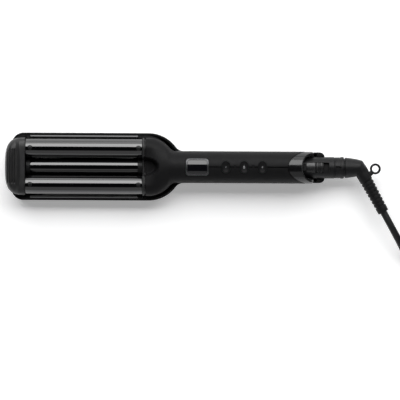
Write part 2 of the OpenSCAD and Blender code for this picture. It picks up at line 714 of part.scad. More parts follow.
// Catch that stands in front of the slider's tongue while the arms are closed
catch_x = lock_x - tongue_l - 1.5;
module hinge_cap() color([0.22, 0.22, 0.23]) {
    cap_shell();
    block(catch_x - 1.8, catch_x, tongue_half, part_z + lock_top_r + 0.7,
        up_z + skin_r + side_gap);
}
module cap_shell() difference() {
    intersection() {
        along_x(cap_back - cap_reach - 1, cap_reach + 6) up_skin();
        union() {
            translate([0, 0, part_z]) linear_extrude(handle_w)
                cap_plan(cap_back + eps, cap_reach, handle_r + 1, 0);
            block(cap_back, cap_back + 5, handle_w, part_z, handle_w * 2);
        }
    }
    translate([0, 0, part_z - 1]) linear_extrude(handle_w)
        cap_plan(cap_rear + eps, cap_rear_reach, handle_r - 1.5, 0);
    block(cap_rear, cap_rear + 5, handle_w, part_z - 1, handle_w * 2);
    // Relief behind the pivot, so that the arm opens
    along_y(-handle_w, 2 * handle_w) polygon([[hinge_x, part_z],
        [hinge_x + 12, part_z], [hinge_x + 12, up_rim + 12 * tan(open_angle)]]);
}

// Cool tip: rings of a superellipse that climb to the crest and into the scoop
tip_power = 3.2;
cap_half = cap_w / 2;
cap_side_z = barrel_z - 0.4;
flare_z = barrel_z + barrel_r - 0.9;
mound_run = 5;
grip_x = 9.8;
grip_pitch = 2.35;
grip_count = 4;
grip_y = 17.5;
grip_r = 0.9;
grip_depth = 0.55;
round_run = 0.42;
tip_cols = 26;
function mound_x(y) = cap_x - 3.6 - 2.3 * pow(y / cap_half, 2);
function mound(x, y) = smooth((mound_x(y) - x) / mound_run);
function cap_z(u, a) =
    let (p = cap_xy(u, a), arch = sqrt(max(0, 1 - pow(max(0, 1 - (1 - u) / round_run), 2))))
    mix(cap_side_z, mix(flare_z, cap_top, mound(p.x, p.y)), arch);
function cap_xy(u, a) = [cap_x - cap_l * u * pow(abs(cos(a)), 2 / tip_power),
    cap_half * u * sign(sin(a)) * pow(abs(sin(a)), 2 / tip_power)];
cap_us = concat([1, 0.985], [for (i = [0:11]) 0.94 - 0.08 * i]);
function cap_row(u, z) = [for (j = [0:tip_cols]) let (a = -90 + 180 * j / tip_cols,
        p = cap_xy(u, a)) [p.x, p.y, is_undef(z) ? cap_z(u, a) : z]];
module tip_dome() {
    rows = concat([cap_row(1, up_rim)], [for (u = cap_us) cap_row(u)]);
    m = len(rows);
    n = tip_cols + 1;
    first = [for (i = [0:m - 1]) i * n];
    last = [for (i = [m - 1:-1:0]) i * n + n - 1];
    polyhedron([for (row = rows) each row], concat(grid_faces(m, n, 0, false),
        [[for (j = [n - 1:-1:0]) j]],
        [[for (j = [0:n - 1]) (m - 1) * n + j]],
        [concat(first, last)]));
}
module tip_cap() color([0.15, 0.15, 0.15]) difference() {
    union() {
        tip_dome();
        for (s = [-1, 1]) rod_x(cap_x - eps, s * barrel_y, barrel_z, stub_l, stub_r);
    }
    screw_holes();
    // Finger grooves across the mound
    for (i = [0:grip_count - 1]) let (run = grip_x + i * grip_pitch)
        rod_y(cap_x - run, -grip_y, cap_z(run / cap_l, 0) + grip_r - grip_depth,
            2 * grip_y, grip_r, $fn = 20);
}

screw_inset = [5.2, 3.8];
screw_xs = [cap_x + screw_inset[0], collar_x - screw_inset[1]];
shank_r = 1.1;
module screw_holes() for (x = screw_xs, s = [-1, 1])
    translate([x, s * barrel_y, barrel_z]) cylinder(h = barrel_d, r = shank_r + run_fit);

module barrel_collar() color([0.17, 0.17, 0.17]) difference() {
    union() {
        along_x(collar_x, collar_t - seat / 2)
            polygon(flat_yz(up_section(dome_x, 0.3, crown_steps)));
        for (s = [-1, 1])
            rod_x(collar_x - stub_l, s * barrel_y, barrel_z, stub_l + eps, stub_r);
    }
    screw_holes();
}

module barrel(side) color([0.06, 0.06, 0.06]) difference() {
    rod_x(barrel_x0, side * barrel_y, barrel_z, barrel_x1 - barrel_x0, barrel_r, $fn = 96);
    rod_x(barrel_x0 - 1, side * barrel_y, barrel_z, barrel_span + 2, bore_r);
    for (x = screw_xs) translate([x, side * barrel_y, barrel_z])
        cylinder(h = barrel_d, r = screw_d / 2 + run_fit, $fn = 32);
}
module barrel_left() barrel(1);
module barrel_right() barrel(-1);

carrier_l = barrel_span - 2 * stub_l - 4;
carrier_x = cap_x + stub_l + 2;
strip_t = 3;
strip_w = 11;
module barrel_heaters() color([0.9, 0.88, 0.82]) for (s = [-1, 1])
    translate([carrier_x, s * barrel_y - strip_w / 2, barrel_z - strip_t / 2])
        cube([carrier_l, strip_w, strip_t]);

module heater_carriers() color([0.75, 0.76, 0.78]) for (s = [-1, 1]) difference() {
    rod_x(carrier_x, s * barrel_y, barrel_z, carrier_l, stub_r);
    translate([carrier_x - 1, s * barrel_y - barrel_r, barrel_z - strip_t / 2])
        cube([carrier_l + 2, barrel_d, strip_t]);
}

shank_l = 5;
head_rise = 0.6;
module barrel_screws() color([0.3, 0.3, 0.3]) for (x = screw_xs, s = [-1, 1])
    translate([x, s * barrel_y, barrel_z]) {
        translate([0, 0, stub_r - shank_l]) cylinder(h = shank_l + eps, r = shank_r);
        translate([0, 0, stub_r]) cylinder(h = barrel_wall + seat + head_rise,
            r = screw_d / 2);
    }

module display_bezel() color([0.8, 0.81, 0.83]) intersection() {
    translate([frame_x, 0, board_top]) linear_extrude(handle_w) difference() {
        rounded(window_l, window_w, window_r);
        translate([frame_w, 0]) rounded(window_l - 2 * frame_w, window_w - 2 * frame_w,
            window_r - frame_w / 2);
    }
    crown_band(frame_x - 1, frame_x + window_l + 1, skin_r + 0.2, handle_r + 0.3);
}

lens_t = 1.4;
module display_lens() color([0.05, 0.05, 0.06]) intersection() {
    translate([frame_x + frame_w + run_fit, 0, board_top]) linear_extrude(handle_w)
        rounded(window_l - 2 * frame_w - 2 * run_fit, window_w - 2 * frame_w - 2 * run_fit,
            window_r - frame_w / 2);
    crown_band(frame_x - 1, frame_x + window_l + 1, handle_r + 0.2 - lens_t, handle_r + 0.2);
}

module_half = 5.5;
module_top = up_z + sqrt(pow(handle_r - lens_t, 2) - module_half * module_half) - 0.2;
module display_module() color([0.3, 0.34, 0.3])
    block(frame_x + 2, frame_x + window_l - 2, module_half, board_top, module_top);

board_half = sqrt(skin_r * skin_r - pow(board_top - up_z, 2)) - 0.15;
board_run = 24;
module control_board() color([0.05, 0.3, 0.16])
    block(handle_x + 4, button_xs[2] + board_run, board_half, board_top - board_t,
        board_top);

switch_half = 3;
switch_h = 3.2;
module tact_switches() color([0.1, 0.1, 0.1]) for (x = button_xs) {
    block(x - switch_half, x + switch_half, switch_half, board_top, board_top + switch_h);
    translate([x, 0, board_top + switch_h - eps])
        cylinder(h = plunger_z - board_top - switch_h + eps, r = 1.7);
}

// ---- Buttons ----

// Dish of an ellipsoid that meets the handle's crown at the button's ends
dish_r = 15;
dish_d = 1.8;
crown_drop = handle_r - sqrt(handle_r * handle_r - pow(button_w / 2, 2));
dish_scale = [button_l / 2 / sqrt(2 * dish_r * dish_d),
    button_w / 2 / sqrt(2 * dish_r * (dish_d - crown_drop)), 1];
lip_w = 0.8;
module button(i) color([0.16, 0.16, 0.16]) translate([button_xs[i], 0, 0]) difference() {
    union() {
        intersection() {
            translate([0, 0, board_top]) linear_extrude(handle_w)
                stadium(button_l, button_w);
            crown_band(-button_l, button_l, lip_r - lip_t, handle_r);
        }
        intersection() {
            translate([0, 0, board_top]) linear_extrude(handle_w)
                stadium(button_l + 2 * lip_w, button_w + 2 * lip_w);
            crown_band(-button_l, button_l, lip_r - lip_t, lip_r);
        }
    }
    translate([0, 0, up_z + handle_r - dish_d + dish_r]) scale(dish_scale) sphere(dish_r);
}
module button_minus() button(0);
module button_power() button(1);
module button_plus() button(2);

// ---- Swivel and cord ----

spindle_x = swivel_x - bearing_l - flange_t - 0.2;
module swivel_spindle() color([0.7, 0.7, 0.72]) {
    rod_x(spindle_x + flange_t - eps, 0, part_z, elbow_x - spindle_x - flange_t + eps,
        spindle_r);
    rod_x(spindle_x, 0, part_z, flange_t, flange_r);
    rod_x(ring_xs[0] - 1, 0, part_z, spindle_x - ring_xs[0] + 1 + eps, nose_r);
}

module slip_rings() color([0.8, 0.5, 0.3]) for (x = ring_xs) difference() {
    rod_x(x, 0, part_z, ring_w, ring_r);
    rod_x(x - 1, 0, part_z, ring_w + 2, nose_r + 0.02);
}

// Point of the plane that mitres the elbow's two legs
module half_space(side) translate(bend) rotate([0, 0, relief_angle / 2])
    translate([side > 0 ? 0 : -far, -far / 2, -far / 2]) cube(far);
far = 2 * relief_l;
elbow_r0 = tail_r - 1.3;
elbow_r1 = elbow_r0 - 1.5;
relief_smooth = 15;
rib_pitch = (relief_l - relief_smooth - 4) / relief_ribs;
groove_ratio = 0.4;
rib_groove = 1.1;
function relief_r(s) = mix(relief_r0, relief_r1, s / relief_l);
eye_c = [bend.x + 16, -0.9];
eye_ring = 2.2;
module eye() translate([0, 0, part_z - eye_t / 2]) linear_extrude(eye_t) difference() {
    union() {
        translate(eye_c) circle(eye_r + eye_ring);
        polygon([eye_c + [-4.6, -1.2], eye_c + [-1.5, -5], eye_c + [-7, -10],
            eye_c + [-10, -6]]);
    }
    translate(eye_c) circle(eye_r);
}
module relief() translate(bend) rotate([0, 0, relief_angle]) rotate([0, 90, 0]) difference() {
    translate([0, 0, -6]) cylinder(h = relief_l + 6, r1 = relief_r(-6), r2 = relief_r1);
    for (i = [0:relief_ribs - 1]) let (s = relief_smooth + i * rib_pitch)
        translate([0, 0, s]) difference() {
            cylinder(h = rib_pitch * groove_ratio, r = relief_r0 + 2);
            translate([0, 0, -1]) cylinder(h = rib_pitch + 2, r = relief_r(s) - rib_groove);
        }
}
module cord_elbow() color([0.12, 0.12, 0.12]) {
    intersection() {
        translate([elbow_x, 0, part_z]) rotate([0, 90, 0])
            cylinder(h = bend.x - elbow_x + 8, r1 = elbow_r0,
                r2 = mix(elbow_r0, elbow_r1, 1.3));
        half_space(-1);
    }
    intersection() {
        relief();
        half_space(1);
    }
    difference() {
        eye();
        relief();
    }
}

module cord_lead() color([0.1, 0.1, 0.1]) tube(lead_points, cord_r, 8);
module cord_coil() color([0.1, 0.1, 0.1]) tube(coil_path, cord_r, 6);
module cord_end() color([0.1, 0.1, 0.1])
    tube(concat([coil_path[coil_steps]], end_points), cord_r, 8);

// Strap round the coil, where the turns of both layers lie on each other
tie_w = 10;
tie_angle = 101;
tie_in = coil_r - coil_pitch * coil_turns - cord_r - 0.4;
tie_out = coil_r + cord_r + 0.3;
module cord_tie() color([0.25, 0.25, 0.25])
    translate([coil_c.x, coil_c.y, 0]) rotate([0, 0, tie_angle])
        translate([0, tie_w / 2, 0]) rotate([90, 0, 0]) linear_extrude(tie_w) difference() {
            square_from(tie_in - tie_t, tie_out + tie_t, 0, cord_z + layer_h + cord_r + 2 * tie_t);
            square_from(tie_in, tie_out, tie_t - 0.1, cord_z + layer_h + cord_r + tie_t);
        }
module square_from(x0, x1, y0, y1) translate([x0, y0]) square([x1 - x0, y1 - y0]);

plug_rear = plug_tip.x + plug_l;
module plug_outline(d) {
    half = plug_w / 2 - d;
    grip = plug_grip_w / 2 - d;
    polygon([[0, 0.6 - half], [plug_shoulder, -half], [plug_l, -grip], [plug_l, grip],
        [plug_shoulder, half], [0, half - 0.6]]);
}
module plug_body() color([0.1, 0.1, 0.1]) {
    translate([plug_tip.x, plug_tip.y, 0]) hull() {
        translate([0, 0, plug_edge]) linear_extrude(plug_h - 2 * plug_edge) plug_outline(0);
        linear_extrude(plug_h) plug_outline(plug_edge);
    }
    nub_l = end_points[len(end_points) - 1].x - plug_rear;
    translate([plug_rear - 1, plug_tip.y, plug_tip.z]) rotate([0, 90, 0])
        cylinder(h = nub_l + 1, r1 = 6, r2 = cord_r + 1);
}
module plug_pins() color([0.8, 0.8, 0.82]) for (s = [-1, 1])
    translate([plug_tip.x - pin_len, plug_tip.y + s * pins_apart / 2, plug_tip.z])
        rotate([0, 90, 0]) cylinder(h = pin_len, r = 2);

lower_housing();
lower_tip_cover();
wave_plate();
plate_supports();
plate_heaters();
heater_clamp();
thermal_fuse();
lower_inner_cover();
tail_housing();
hinge_pin();
hinge_spring();
lock_spring();
swivel_collar();
contact_brushes();
lock_slider();
upper_housing();
upper_chassis();
hinge_cap();
tip_cap();
barrel_collar();
barrel_left();
barrel_right();
barrel_heaters();
heater_carriers();
barrel_screws();
display_bezel();
display_lens();
display_module();
control_board();
tact_switches();
button_minus();
button_power();
button_plus();
swivel_spindle();
slip_rings();
cord_elbow();
cord_lead();
cord_coil();
cord_end();
cord_tie();
plug_body();
plug_pins();
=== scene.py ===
"""Hair waver: the looks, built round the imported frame.

Sizes are in millimetres, as in the part's source, and mesh_piece() turns them
into metres. X runs from the cool tip to the cord, Y across the jaws, Z up.
"""
import json
from math import asin, atan2, ceil, copysign, cos, hypot, pi, radians, sin, sqrt, tan

import bpy
import bmesh
import numpy as np
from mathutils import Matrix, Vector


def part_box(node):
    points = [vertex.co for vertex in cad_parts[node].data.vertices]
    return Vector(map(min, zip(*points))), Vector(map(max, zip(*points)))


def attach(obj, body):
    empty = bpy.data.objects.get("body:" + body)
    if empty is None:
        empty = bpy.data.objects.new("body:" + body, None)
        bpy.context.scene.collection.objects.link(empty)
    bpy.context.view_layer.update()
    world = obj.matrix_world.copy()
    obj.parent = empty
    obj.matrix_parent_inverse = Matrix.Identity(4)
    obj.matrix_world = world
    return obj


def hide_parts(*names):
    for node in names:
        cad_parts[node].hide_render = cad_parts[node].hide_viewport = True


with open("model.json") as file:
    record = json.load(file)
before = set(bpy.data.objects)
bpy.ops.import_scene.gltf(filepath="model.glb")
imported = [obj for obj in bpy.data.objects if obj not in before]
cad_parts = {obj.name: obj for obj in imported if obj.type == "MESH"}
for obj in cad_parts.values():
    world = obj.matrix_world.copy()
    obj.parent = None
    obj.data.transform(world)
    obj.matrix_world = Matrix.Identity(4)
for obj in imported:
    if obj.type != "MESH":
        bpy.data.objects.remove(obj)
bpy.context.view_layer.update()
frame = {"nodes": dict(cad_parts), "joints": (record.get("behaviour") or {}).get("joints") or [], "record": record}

MM = 0.001


def added(name, data):
    """A new object in the scene."""
    made = bpy.data.objects.new(name, data)
    bpy.context.scene.collection.objects.link(made)
    return made


# ---- Stations read from the frame, in millimetres ----

def low(node):
    return np.array(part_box(node)[0]) / MM


def high(node):
    return np.array(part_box(node)[1]) / MM


def centre_of(node):
    return (low(node) + high(node)) / 2


WALL = 2.2
HINGE = [j for j in frame["joints"] if j["name"] == "jaw_hinge"][0]["pos_m"]
HINGE_X = HINGE[0] / MM
PART_Z = HINGE[2] / MM
BARREL_X = (low("barrel_left")[0], high("barrel_left")[0])
BARREL_Y, BARREL_Z = centre_of("barrel_left")[1:]
BARREL_R = (high("barrel_left")[1] - low("barrel_left")[1]) / 2
BARREL_WALL = 1.5
CAP_X = BARREL_X[0] - 0.5
COLLAR_X = BARREL_X[1] + 0.1
DOME_X = low("upper_housing")[0]
DOME_HALF = high("upper_housing")[1]
BOARD_GAP = 4
HANDLE_X = low("control_board")[0] - BOARD_GAP
HANDLE_R = high("hinge_cap")[1]
UP_RIM = low("upper_housing")[2]
LOW_RIM = high("lower_housing")[2]
UP_Z = PART_Z + 3.5
TIP_X = low("tip_cap")[0]
JAW_TIP = low("lower_housing")[0]
JAW_HALF = high("lower_housing")[1]
TAIL_R = (high("tail_housing")[1] - low("tail_housing")[1]) / 2
TAIL_X = high("tail_housing")[0]
SWIVEL_X = high("swivel_collar")[0]
ELBOW_X = low("cord_elbow")[0]


# ---- Camera: straight above, at the photograph's scale of 1 mm a pixel ----

PHOTO_MM = 400
VIEW_AT = (25.05, -32.95, 25)
CAMERA_UP = 2500
ROLL = radians(0.286)
SENSOR = 36

camera_data = bpy.data.cameras.new("camera")
camera = added("camera", camera_data)
camera_data.sensor_width = SENSOR
camera_data.lens = SENSOR * CAMERA_UP / PHOTO_MM
camera_data.clip_end = 50
camera.location = (VIEW_AT[0] * MM, VIEW_AT[1] * MM, (VIEW_AT[2] + CAMERA_UP) * MM)
camera.rotation_euler = (0, 0, ROLL)
bpy.context.scene.camera = camera
bpy.context.scene.view_settings.view_transform = "Standard"


# ---- Materials ----

def node_tree(name):
    material = bpy.data.materials.new(name)
    material.use_nodes = True
    tree = material.node_tree
    return material, tree, tree.nodes["Principled BSDF"]


def wire(tree, node, inputs):
    """Set a node's inputs, each to a value or to another node's output."""
    for key, value in inputs.items():
        if isinstance(value, bpy.types.NodeSocket):
            tree.links.new(value, node.inputs[key])
        else:
            node.inputs[key].default_value = value


def add_node(tree, kind, inputs=None, **settings):
    """A new shader node's outputs."""
    node = tree.nodes.new("ShaderNode" + kind)
    for name, value in settings.items():
        setattr(node, name, value)
    wire(tree, node, inputs or {})
    return node.outputs


def calculate(tree, operation, *values):
    return add_node(tree, "Math", dict(enumerate(values)), operation=operation)[0]


def ramp(tree, value, source, target, kind="LINEAR"):
    """Map one range onto another, held at both ends."""
    return add_node(tree, "MapRange", {
        "Value": value, "From Min": source[0], "From Max": source[1], "To Min": target[0],
        "To Max": target[1]}, interpolation_type=kind)["Result"]


def noise(tree, scale, detail, stretch):
    """A noise texture in the frame's own metres; stretch above 1 draws it out less."""
    mapping = add_node(tree, "Mapping", {
        "Vector": add_node(tree, "TexCoord")["Object"], "Scale": stretch})
    return add_node(tree, "TexNoise", {
        "Vector": mapping["Vector"], "Scale": scale, "Detail": detail})["Fac"]


NOISE_MIDDLE = (0.3, 0.7)
ROUGH_PATCHES = 3.7


def finish(name, color, rough, metallic=0.0, ior=1.5, specular=0.5, variation=0.12, patch=60,
           rough_change=0.06, grain=(1500, 0.02), stretch=(1, 1, 1), coat=(0.0, 0.1)):
    """A material with patches of colour, a changing roughness and a fine relief.

    patch is a noise scale per metre, grain the relief's noise scale and its depth in mm,
    coat the coat's weight and roughness.
    """
    material, tree, shader = node_tree(name)
    dark, light = [[c * (1 + way * variation) for c in color] + [1] for way in (-1, 1)]
    patches = ramp(tree, noise(tree, patch, 4, stretch), NOISE_MIDDLE, (0, 1))
    blend = add_node(tree, "Mix", {"A": dark, "B": light, "Factor": patches}, data_type="RGBA")
    roughness = ramp(tree, noise(tree, patch * ROUGH_PATCHES, 3, stretch), NOISE_MIDDLE,
                     (rough - rough_change, rough + rough_change))
    bump = add_node(tree, "Bump", {"Strength": 1.0, "Distance": grain[1] * MM,
                                   "Height": noise(tree, grain[0], 2, stretch)})
    wire(tree, shader, {
        "Base Color": blend["Result"], "Roughness": roughness, "Metallic": metallic, "IOR": ior,
        "Specular IOR Level": specular, "Coat Weight": coat[0], "Coat Roughness": coat[1],
        "Normal": bump["Normal"]})
    return material


SOFT_TOUCH = finish("soft_touch_black", (0.008, 0.008, 0.0084), 0.48, specular=0.1,
                    grain=(2600, 0.012))
MOULDED = finish("moulded_black", (0.008, 0.008, 0.0084), 0.42, specular=0.2,
                 grain=(1900, 0.014))
GRIP_BLACK = finish("grip_black", (0.017, 0.017, 0.0174), 0.4, specular=0.35,
                    grain=(1700, 0.012))
CERAMIC = finish("ceramic_black", (0.0015, 0.0015, 0.0018), 0.07, ior=1.9, variation=0.25,
                 rough_change=0.02, grain=(420, 0.004), patch=25)
GLOSS_GREY = finish("gloss_grey", (0.005, 0.005, 0.0054), 0.17, ior=1.55, grain=(700, 0.003),
                    rough_change=0.03)
LENS_BLACK = finish("lens_black", (0.003, 0.003, 0.004), 0.06, ior=1.6, grain=(300, 0.002),
                    rough_change=0.02, coat=(0.2, 0.03))
BRIGHT = finish("polished_frame", (0.075, 0.075, 0.078), 0.24, metallic=0.6, variation=0.05,
                grain=(900, 0.003), stretch=(0.2, 1, 1))
CORD_RUBBER = finish("cord_sheath", (0.009, 0.009, 0.0095), 0.42, specular=0.3,
                     grain=(1300, 0.02), patch=90)
RELIEF_RUBBER = finish("relief_rubber", (0.007, 0.007, 0.0074), 0.44, specular=0.22)
STEEL = finish("steel", (0.56, 0.56, 0.58), 0.28, metallic=1.0, variation=0.08,
               grain=(2000, 0.004), stretch=(1, 8, 1))
DARK_STEEL = finish("dark_steel", (0.012, 0.012, 0.013), 0.36, metallic=0.4, variation=0.1,
                    grain=(2000, 0.006))
SLIDER_BLACK = finish("slider_black", (0.012, 0.012, 0.0125), 0.3, specular=0.6,
                      grain=(1700, 0.01))
BRASS = finish("brass", (0.71, 0.53, 0.24), 0.25, metallic=1.0, variation=0.1,
               grain=(2000, 0.004), stretch=(8, 1, 1))
ALUMINIUM = finish("aluminium", (0.72, 0.73, 0.75), 0.35, metallic=1.0, variation=0.06,
                   grain=(1500, 0.008), stretch=(0.1, 1, 1))
WHITE_CERAMIC = finish("white_ceramic", (0.78, 0.77, 0.72), 0.45, grain=(1500, 0.015))
BOARD_GREEN = finish("circuit_board", (0.02, 0.16, 0.07), 0.35, variation=0.2, patch=300,
                     coat=(0.4, 0.1))
STRAP = finish("strap", (0.03, 0.03, 0.031), 0.8, grain=(2500, 0.08), stretch=(1, 1, 3))
ICON = finish("icon_ink", (0.3, 0.3, 0.31), 0.5, variation=0.06)
# The power ring's light grey is painted glow: it stands for a lit indicator, and nothing here emits light.
GLOW_PAINTED_ICON = finish("icon_painted_glow", (0.6, 0.6, 0.62), 0.4, variation=0.05)

NODE_FINISH = {
    "soft_black": SOFT_TOUCH, "black_plastic": MOULDED, "ceramic_black": CERAMIC,
    "gloss_grey": GLOSS_GREY, "lens_black": LENS_BLACK, "bright_frame": BRIGHT,
    "cord_rubber": CORD_RUBBER, "steel": STEEL, "brass": BRASS, "aluminium": ALUMINIUM,
    "heater_ceramic": WHITE_CERAMIC, "board_green": BOARD_GREEN, "strap": STRAP}

for part in frame["record"]["subparts"]:
    cad = frame["nodes"][part["node"]]
    cad.data.materials.clear()
    cad.data.materials.append(NODE_FINISH[part["material_slot"]])


# ---- Mesh helpers ----

def mesh_piece(name, points, faces, material, sharp=38):
    """An object from points in millimetres, smooth except at edges over sharp degrees."""
    mesh = bpy.data.meshes.new(name)
    mesh.from_pydata([tuple(p) for p in np.asarray(points, float) * MM], [], faces)
    obj = added(name, mesh)
    mesh.materials.append(material)
    tidy(obj, sharp)
    return obj


def tidy(obj, sharp=38):
    """Outward normals and smooth shading between sharp edges."""
    work = bmesh.new()
    work.from_mesh(obj.data)
    bmesh.ops.remove_doubles(work, verts=work.verts, dist=0.0002 * MM)
    bmesh.ops.recalc_face_normals(work, faces=work.faces)
    work.to_mesh(obj.data)
    work.free()
    obj.data.polygons.foreach_set("use_smooth", [True] * len(obj.data.polygons))
    obj.data.set_sharp_from_angle(angle=radians(sharp))


def settle(obj):
    """Apply an object's modifiers."""
    graph = bpy.context.evaluated_depsgraph_get()
    made = bpy.data.meshes.new_from_object(obj.evaluated_get(graph))
    obj.modifiers.clear()
    obj.data = made
    tidy(obj)
    return obj


def bevel(obj, width, limit=40):
    """Round the edges that are sharper than limit degrees."""
    rounding = obj.modifiers.new("bevel", "BEVEL")
    rounding.width = width * MM
    rounding.segments = 2
    rounding.limit_method = "ANGLE"
    rounding.angle_limit = radians(limit)
    return settle(obj)


def cut(obj, *tools):
    """Cut obj with other objects, which are then removed."""
    for tool in tools:
        boolean = obj.modifiers.new("cut", "BOOLEAN")
        boolean.operation = "DIFFERENCE"
        boolean.solver = "EXACT"
        boolean.object = tool
    settle(obj)
    for tool in tools:
        bpy.data.objects.remove(tool)
    return obj


def place(obj, body, slot, *nodes):
    """Let a piece ride on its body and hide the nodes that it stands for; slot is not used."""
    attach(obj, body)
    if nodes:
        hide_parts(*nodes)
    return obj


def strip(a, b):
    """Quads between two rows of point numbers."""
    return [(a[i], a[i + 1], b[i + 1], b[i]) for i in range(len(a) - 1)]


def grid_rows(rows, cols, closed=False):
    """Each row's point numbers; closed ends each row with its first point."""
    return [list(range(i * cols, (i + 1) * cols)) + [i * cols] * closed for i in range(rows)]


def grid_faces(lines):
    return [face for a, b in zip(lines, lines[1:]) for face in strip(a, b)]


def loops_piece(name, loops, material, caps=True, ring=False, sharp=38):
    """A skin over closed loops of points, capped at both ends or joined into a ring."""
    loops = [np.asarray(loop, float) for loop in loops]
    lines = grid_rows(len(loops), len(loops[0]), closed=True)
    faces = grid_faces(lines)
    if ring:
        faces += strip(lines[-1], lines[0])
    elif caps:
        faces += [tuple(lines[0][:-1]), tuple(lines[-1][:-1])]
    return mesh_piece(name, np.concatenate(loops), faces, material, sharp)


def turned(name, profile, material, centre, axis="x", sides=96, caps=True):
    """Turn a profile of (distance along the axis, radius) about the axis."""
    shift = {"x": 0, "z": -1}[axis]
    angles = np.arange(sides) * 2 * pi / sides
    loops = [np.roll(at_x(along, radius * np.cos(angles), radius * np.sin(angles)), shift, 1)
             + np.asarray(centre, float) for along, radius in profile]
    return loops_piece(name, loops, material, caps=caps)


def prism(name, outline, start, end, material, axis="z"):
    """A straight prism over an outline of 2D points, between two heights on an axis."""
    flat = np.asarray(outline, float)
    along = "xyz".index(axis)
    loops = [np.insert(flat, along, height, axis=1) for height in (start, end)]
    return loops_piece(name, loops, material)


def joined(name, objects):
    """Several objects as one piece."""
    target = bpy.data.meshes.new(name)
    work = bmesh.new()
    for obj in objects:
        work.from_mesh(obj.data)
    work.to_mesh(target)
    work.free()
    target.materials.append(objects[0].data.materials[0])
    for obj in objects:
        bpy.data.objects.remove(obj)
    made = added(name, target)
    tidy(made)
    return made


def on_circle(centre, radius, angles):
    return [(centre[0] + radius * cos(a), centre[1] + radius * sin(a))
            for a in angles]


def arc(centre, radius, start, end, steps):
    """Points of an arc in a plane, angles in degrees."""
    return on_circle(centre, radius, np.radians(np.linspace(start, end, steps + 1)))


def at_x(x, y, z):
    """Points of a section across the waver."""
    return np.column_stack([np.full(len(y), x), y, z])


def rounded_box(half_l, half_w, radius, steps=8, centre=(0, 0)):
    """Outline of a rectangle with round corners, anticlockwise."""
    outline = []
    for sx, sy, start in ((1, 1, 0), (-1, 1, 90), (-1, -1, 180), (1, -1, 270)):
        corner = (centre[0] + sx * (half_l - radius), centre[1] + sy * (half_w - radius))
        outline += arc(corner, radius, start, start + 90, steps)
    return outline


def fine(outline, step=0.7):
    """An outline with points no further apart than step."""
    points = []
    for (x0, y0), (x1, y1) in zip(outline, outline[1:] + outline[:1]):
        count = max(1, ceil(hypot(x1 - x0, y1 - y0) / step))
        points += [(mix(x0, x1, k / count), mix(y0, y1, k / count)) for k in range(count)]
    return points


# ---- Forms shared with the part's source ----

def mix(a, b, t):
    return a + (b - a) * t


def smooth(t):
    t = np.clip(t, 0, 1)
    return t * t * (3 - 2 * t)


def neck_x(centre, radius, fillet, half):
    return centre + sqrt((radius + fillet) ** 2 - (half + fillet) ** 2)


def shoulder_w(x, centre, radius, fillet, half):
    """Half width of a round shoulder that runs through a fillet into the handle."""
    neck = neck_x(centre, radius, fillet, half)
    turn = centre + radius * (neck - centre) / (radius + fillet)
    if x <= centre:
        return radius
    if x < turn:
        return sqrt(radius ** 2 - (x - centre) ** 2)
    if x < neck:
        return half + fillet - sqrt(fillet ** 2 - (neck - x) ** 2)
    return half


JAW_CORNER = 12
JAW_EDGE = 8
JAW_FILLET = 10
JAW_NECK = HANDLE_X + 3.8
JAW_CX = JAW_NECK - neck_x(0, JAW_HALF, JAW_FILLET, HANDLE_R)
FLAT_HALF = 0.4


def jaw_w_at(x, inset):
    radius = JAW_CORNER - inset
    centre = JAW_TIP + JAW_CORNER
    if x < centre:
        return JAW_HALF - JAW_CORNER + sqrt(max(0, radius ** 2 - (centre - x) ** 2))
    return shoulder_w(x, JAW_CX, JAW_HALF - inset, JAW_FILLET + inset, HANDLE_R - inset)


def low_edge(x):
    return mix(JAW_EDGE, HANDLE_R - FLAT_HALF, smooth((x - JAW_CX) / (JAW_NECK - JAW_CX)))


EDGE_STEPS = 14
FLOOR_STEPS = 6


def low_section(x, inset):
    """The lower arm's section: +y rim, round edge, floor, round edge, -y rim."""
    half = jaw_w_at(x, inset)
    radius = low_edge(x) - inset
    reach = JAW_TIP + JAW_EDGE - x
    tip = JAW_EDGE - inset
    lift = tip - sqrt(max(0, tip ** 2 - reach ** 2)) if reach > 0 else 0
    centre_z = inset + lift + radius
    side = [(half, LOW_RIM)] + [(half - radius + radius * cos(a),
                                 centre_z - radius * sin(a))
                                for a in np.linspace(0, pi / 2, EDGE_STEPS + 1)]
    floor = [(y, side[-1][1]) for y in
             np.linspace(side[-1][0], -side[-1][0], FLOOR_STEPS + 1)[1:-1]]
    whole = side + floor + [(-y, z) for y, z in reversed(side)]
    return np.array([(x, y, z) for y, z in whole])


DOME_TOP = 38
DOME_FILLET = 8
DOME_CX = DOME_X + 2.2
DOME_NECK = neck_x(DOME_CX, DOME_HALF, DOME_FILLET, HANDLE_R)
HUMP_R = DOME_HALF - BARREL_Y
HUMP_RUN = 17
SADDLE = 0.09
CAVE_L = 14
CAVE_HALF = 9.6
CAVE_SOFT = 0.32
CAVE_Z = UP_RIM + 2 + WALL + 0.3
CREASE_H = 0.45
CREASE_RUN = 5
CROWN_STEPS = 96


def front_z(y):
    """The crown's front: a round shoulder over each barrel, and a saddle between."""
    over = HUMP_R ** 2 - np.maximum(0, abs(y) - BARREL_Y) ** 2
    return BARREL_Z + np.sqrt(np.maximum(0, over)) - SADDLE * np.maximum(0, BARREL_Y - abs(y))


def cave(x, y, inset):
    """The cave behind the lower crest: 1 on its floor, 0 at its edge."""
    reach = np.hypot((x - DOME_X) / (CAVE_L + inset), y / (CAVE_HALF + inset))
    return smooth((1 - reach) / CAVE_SOFT)


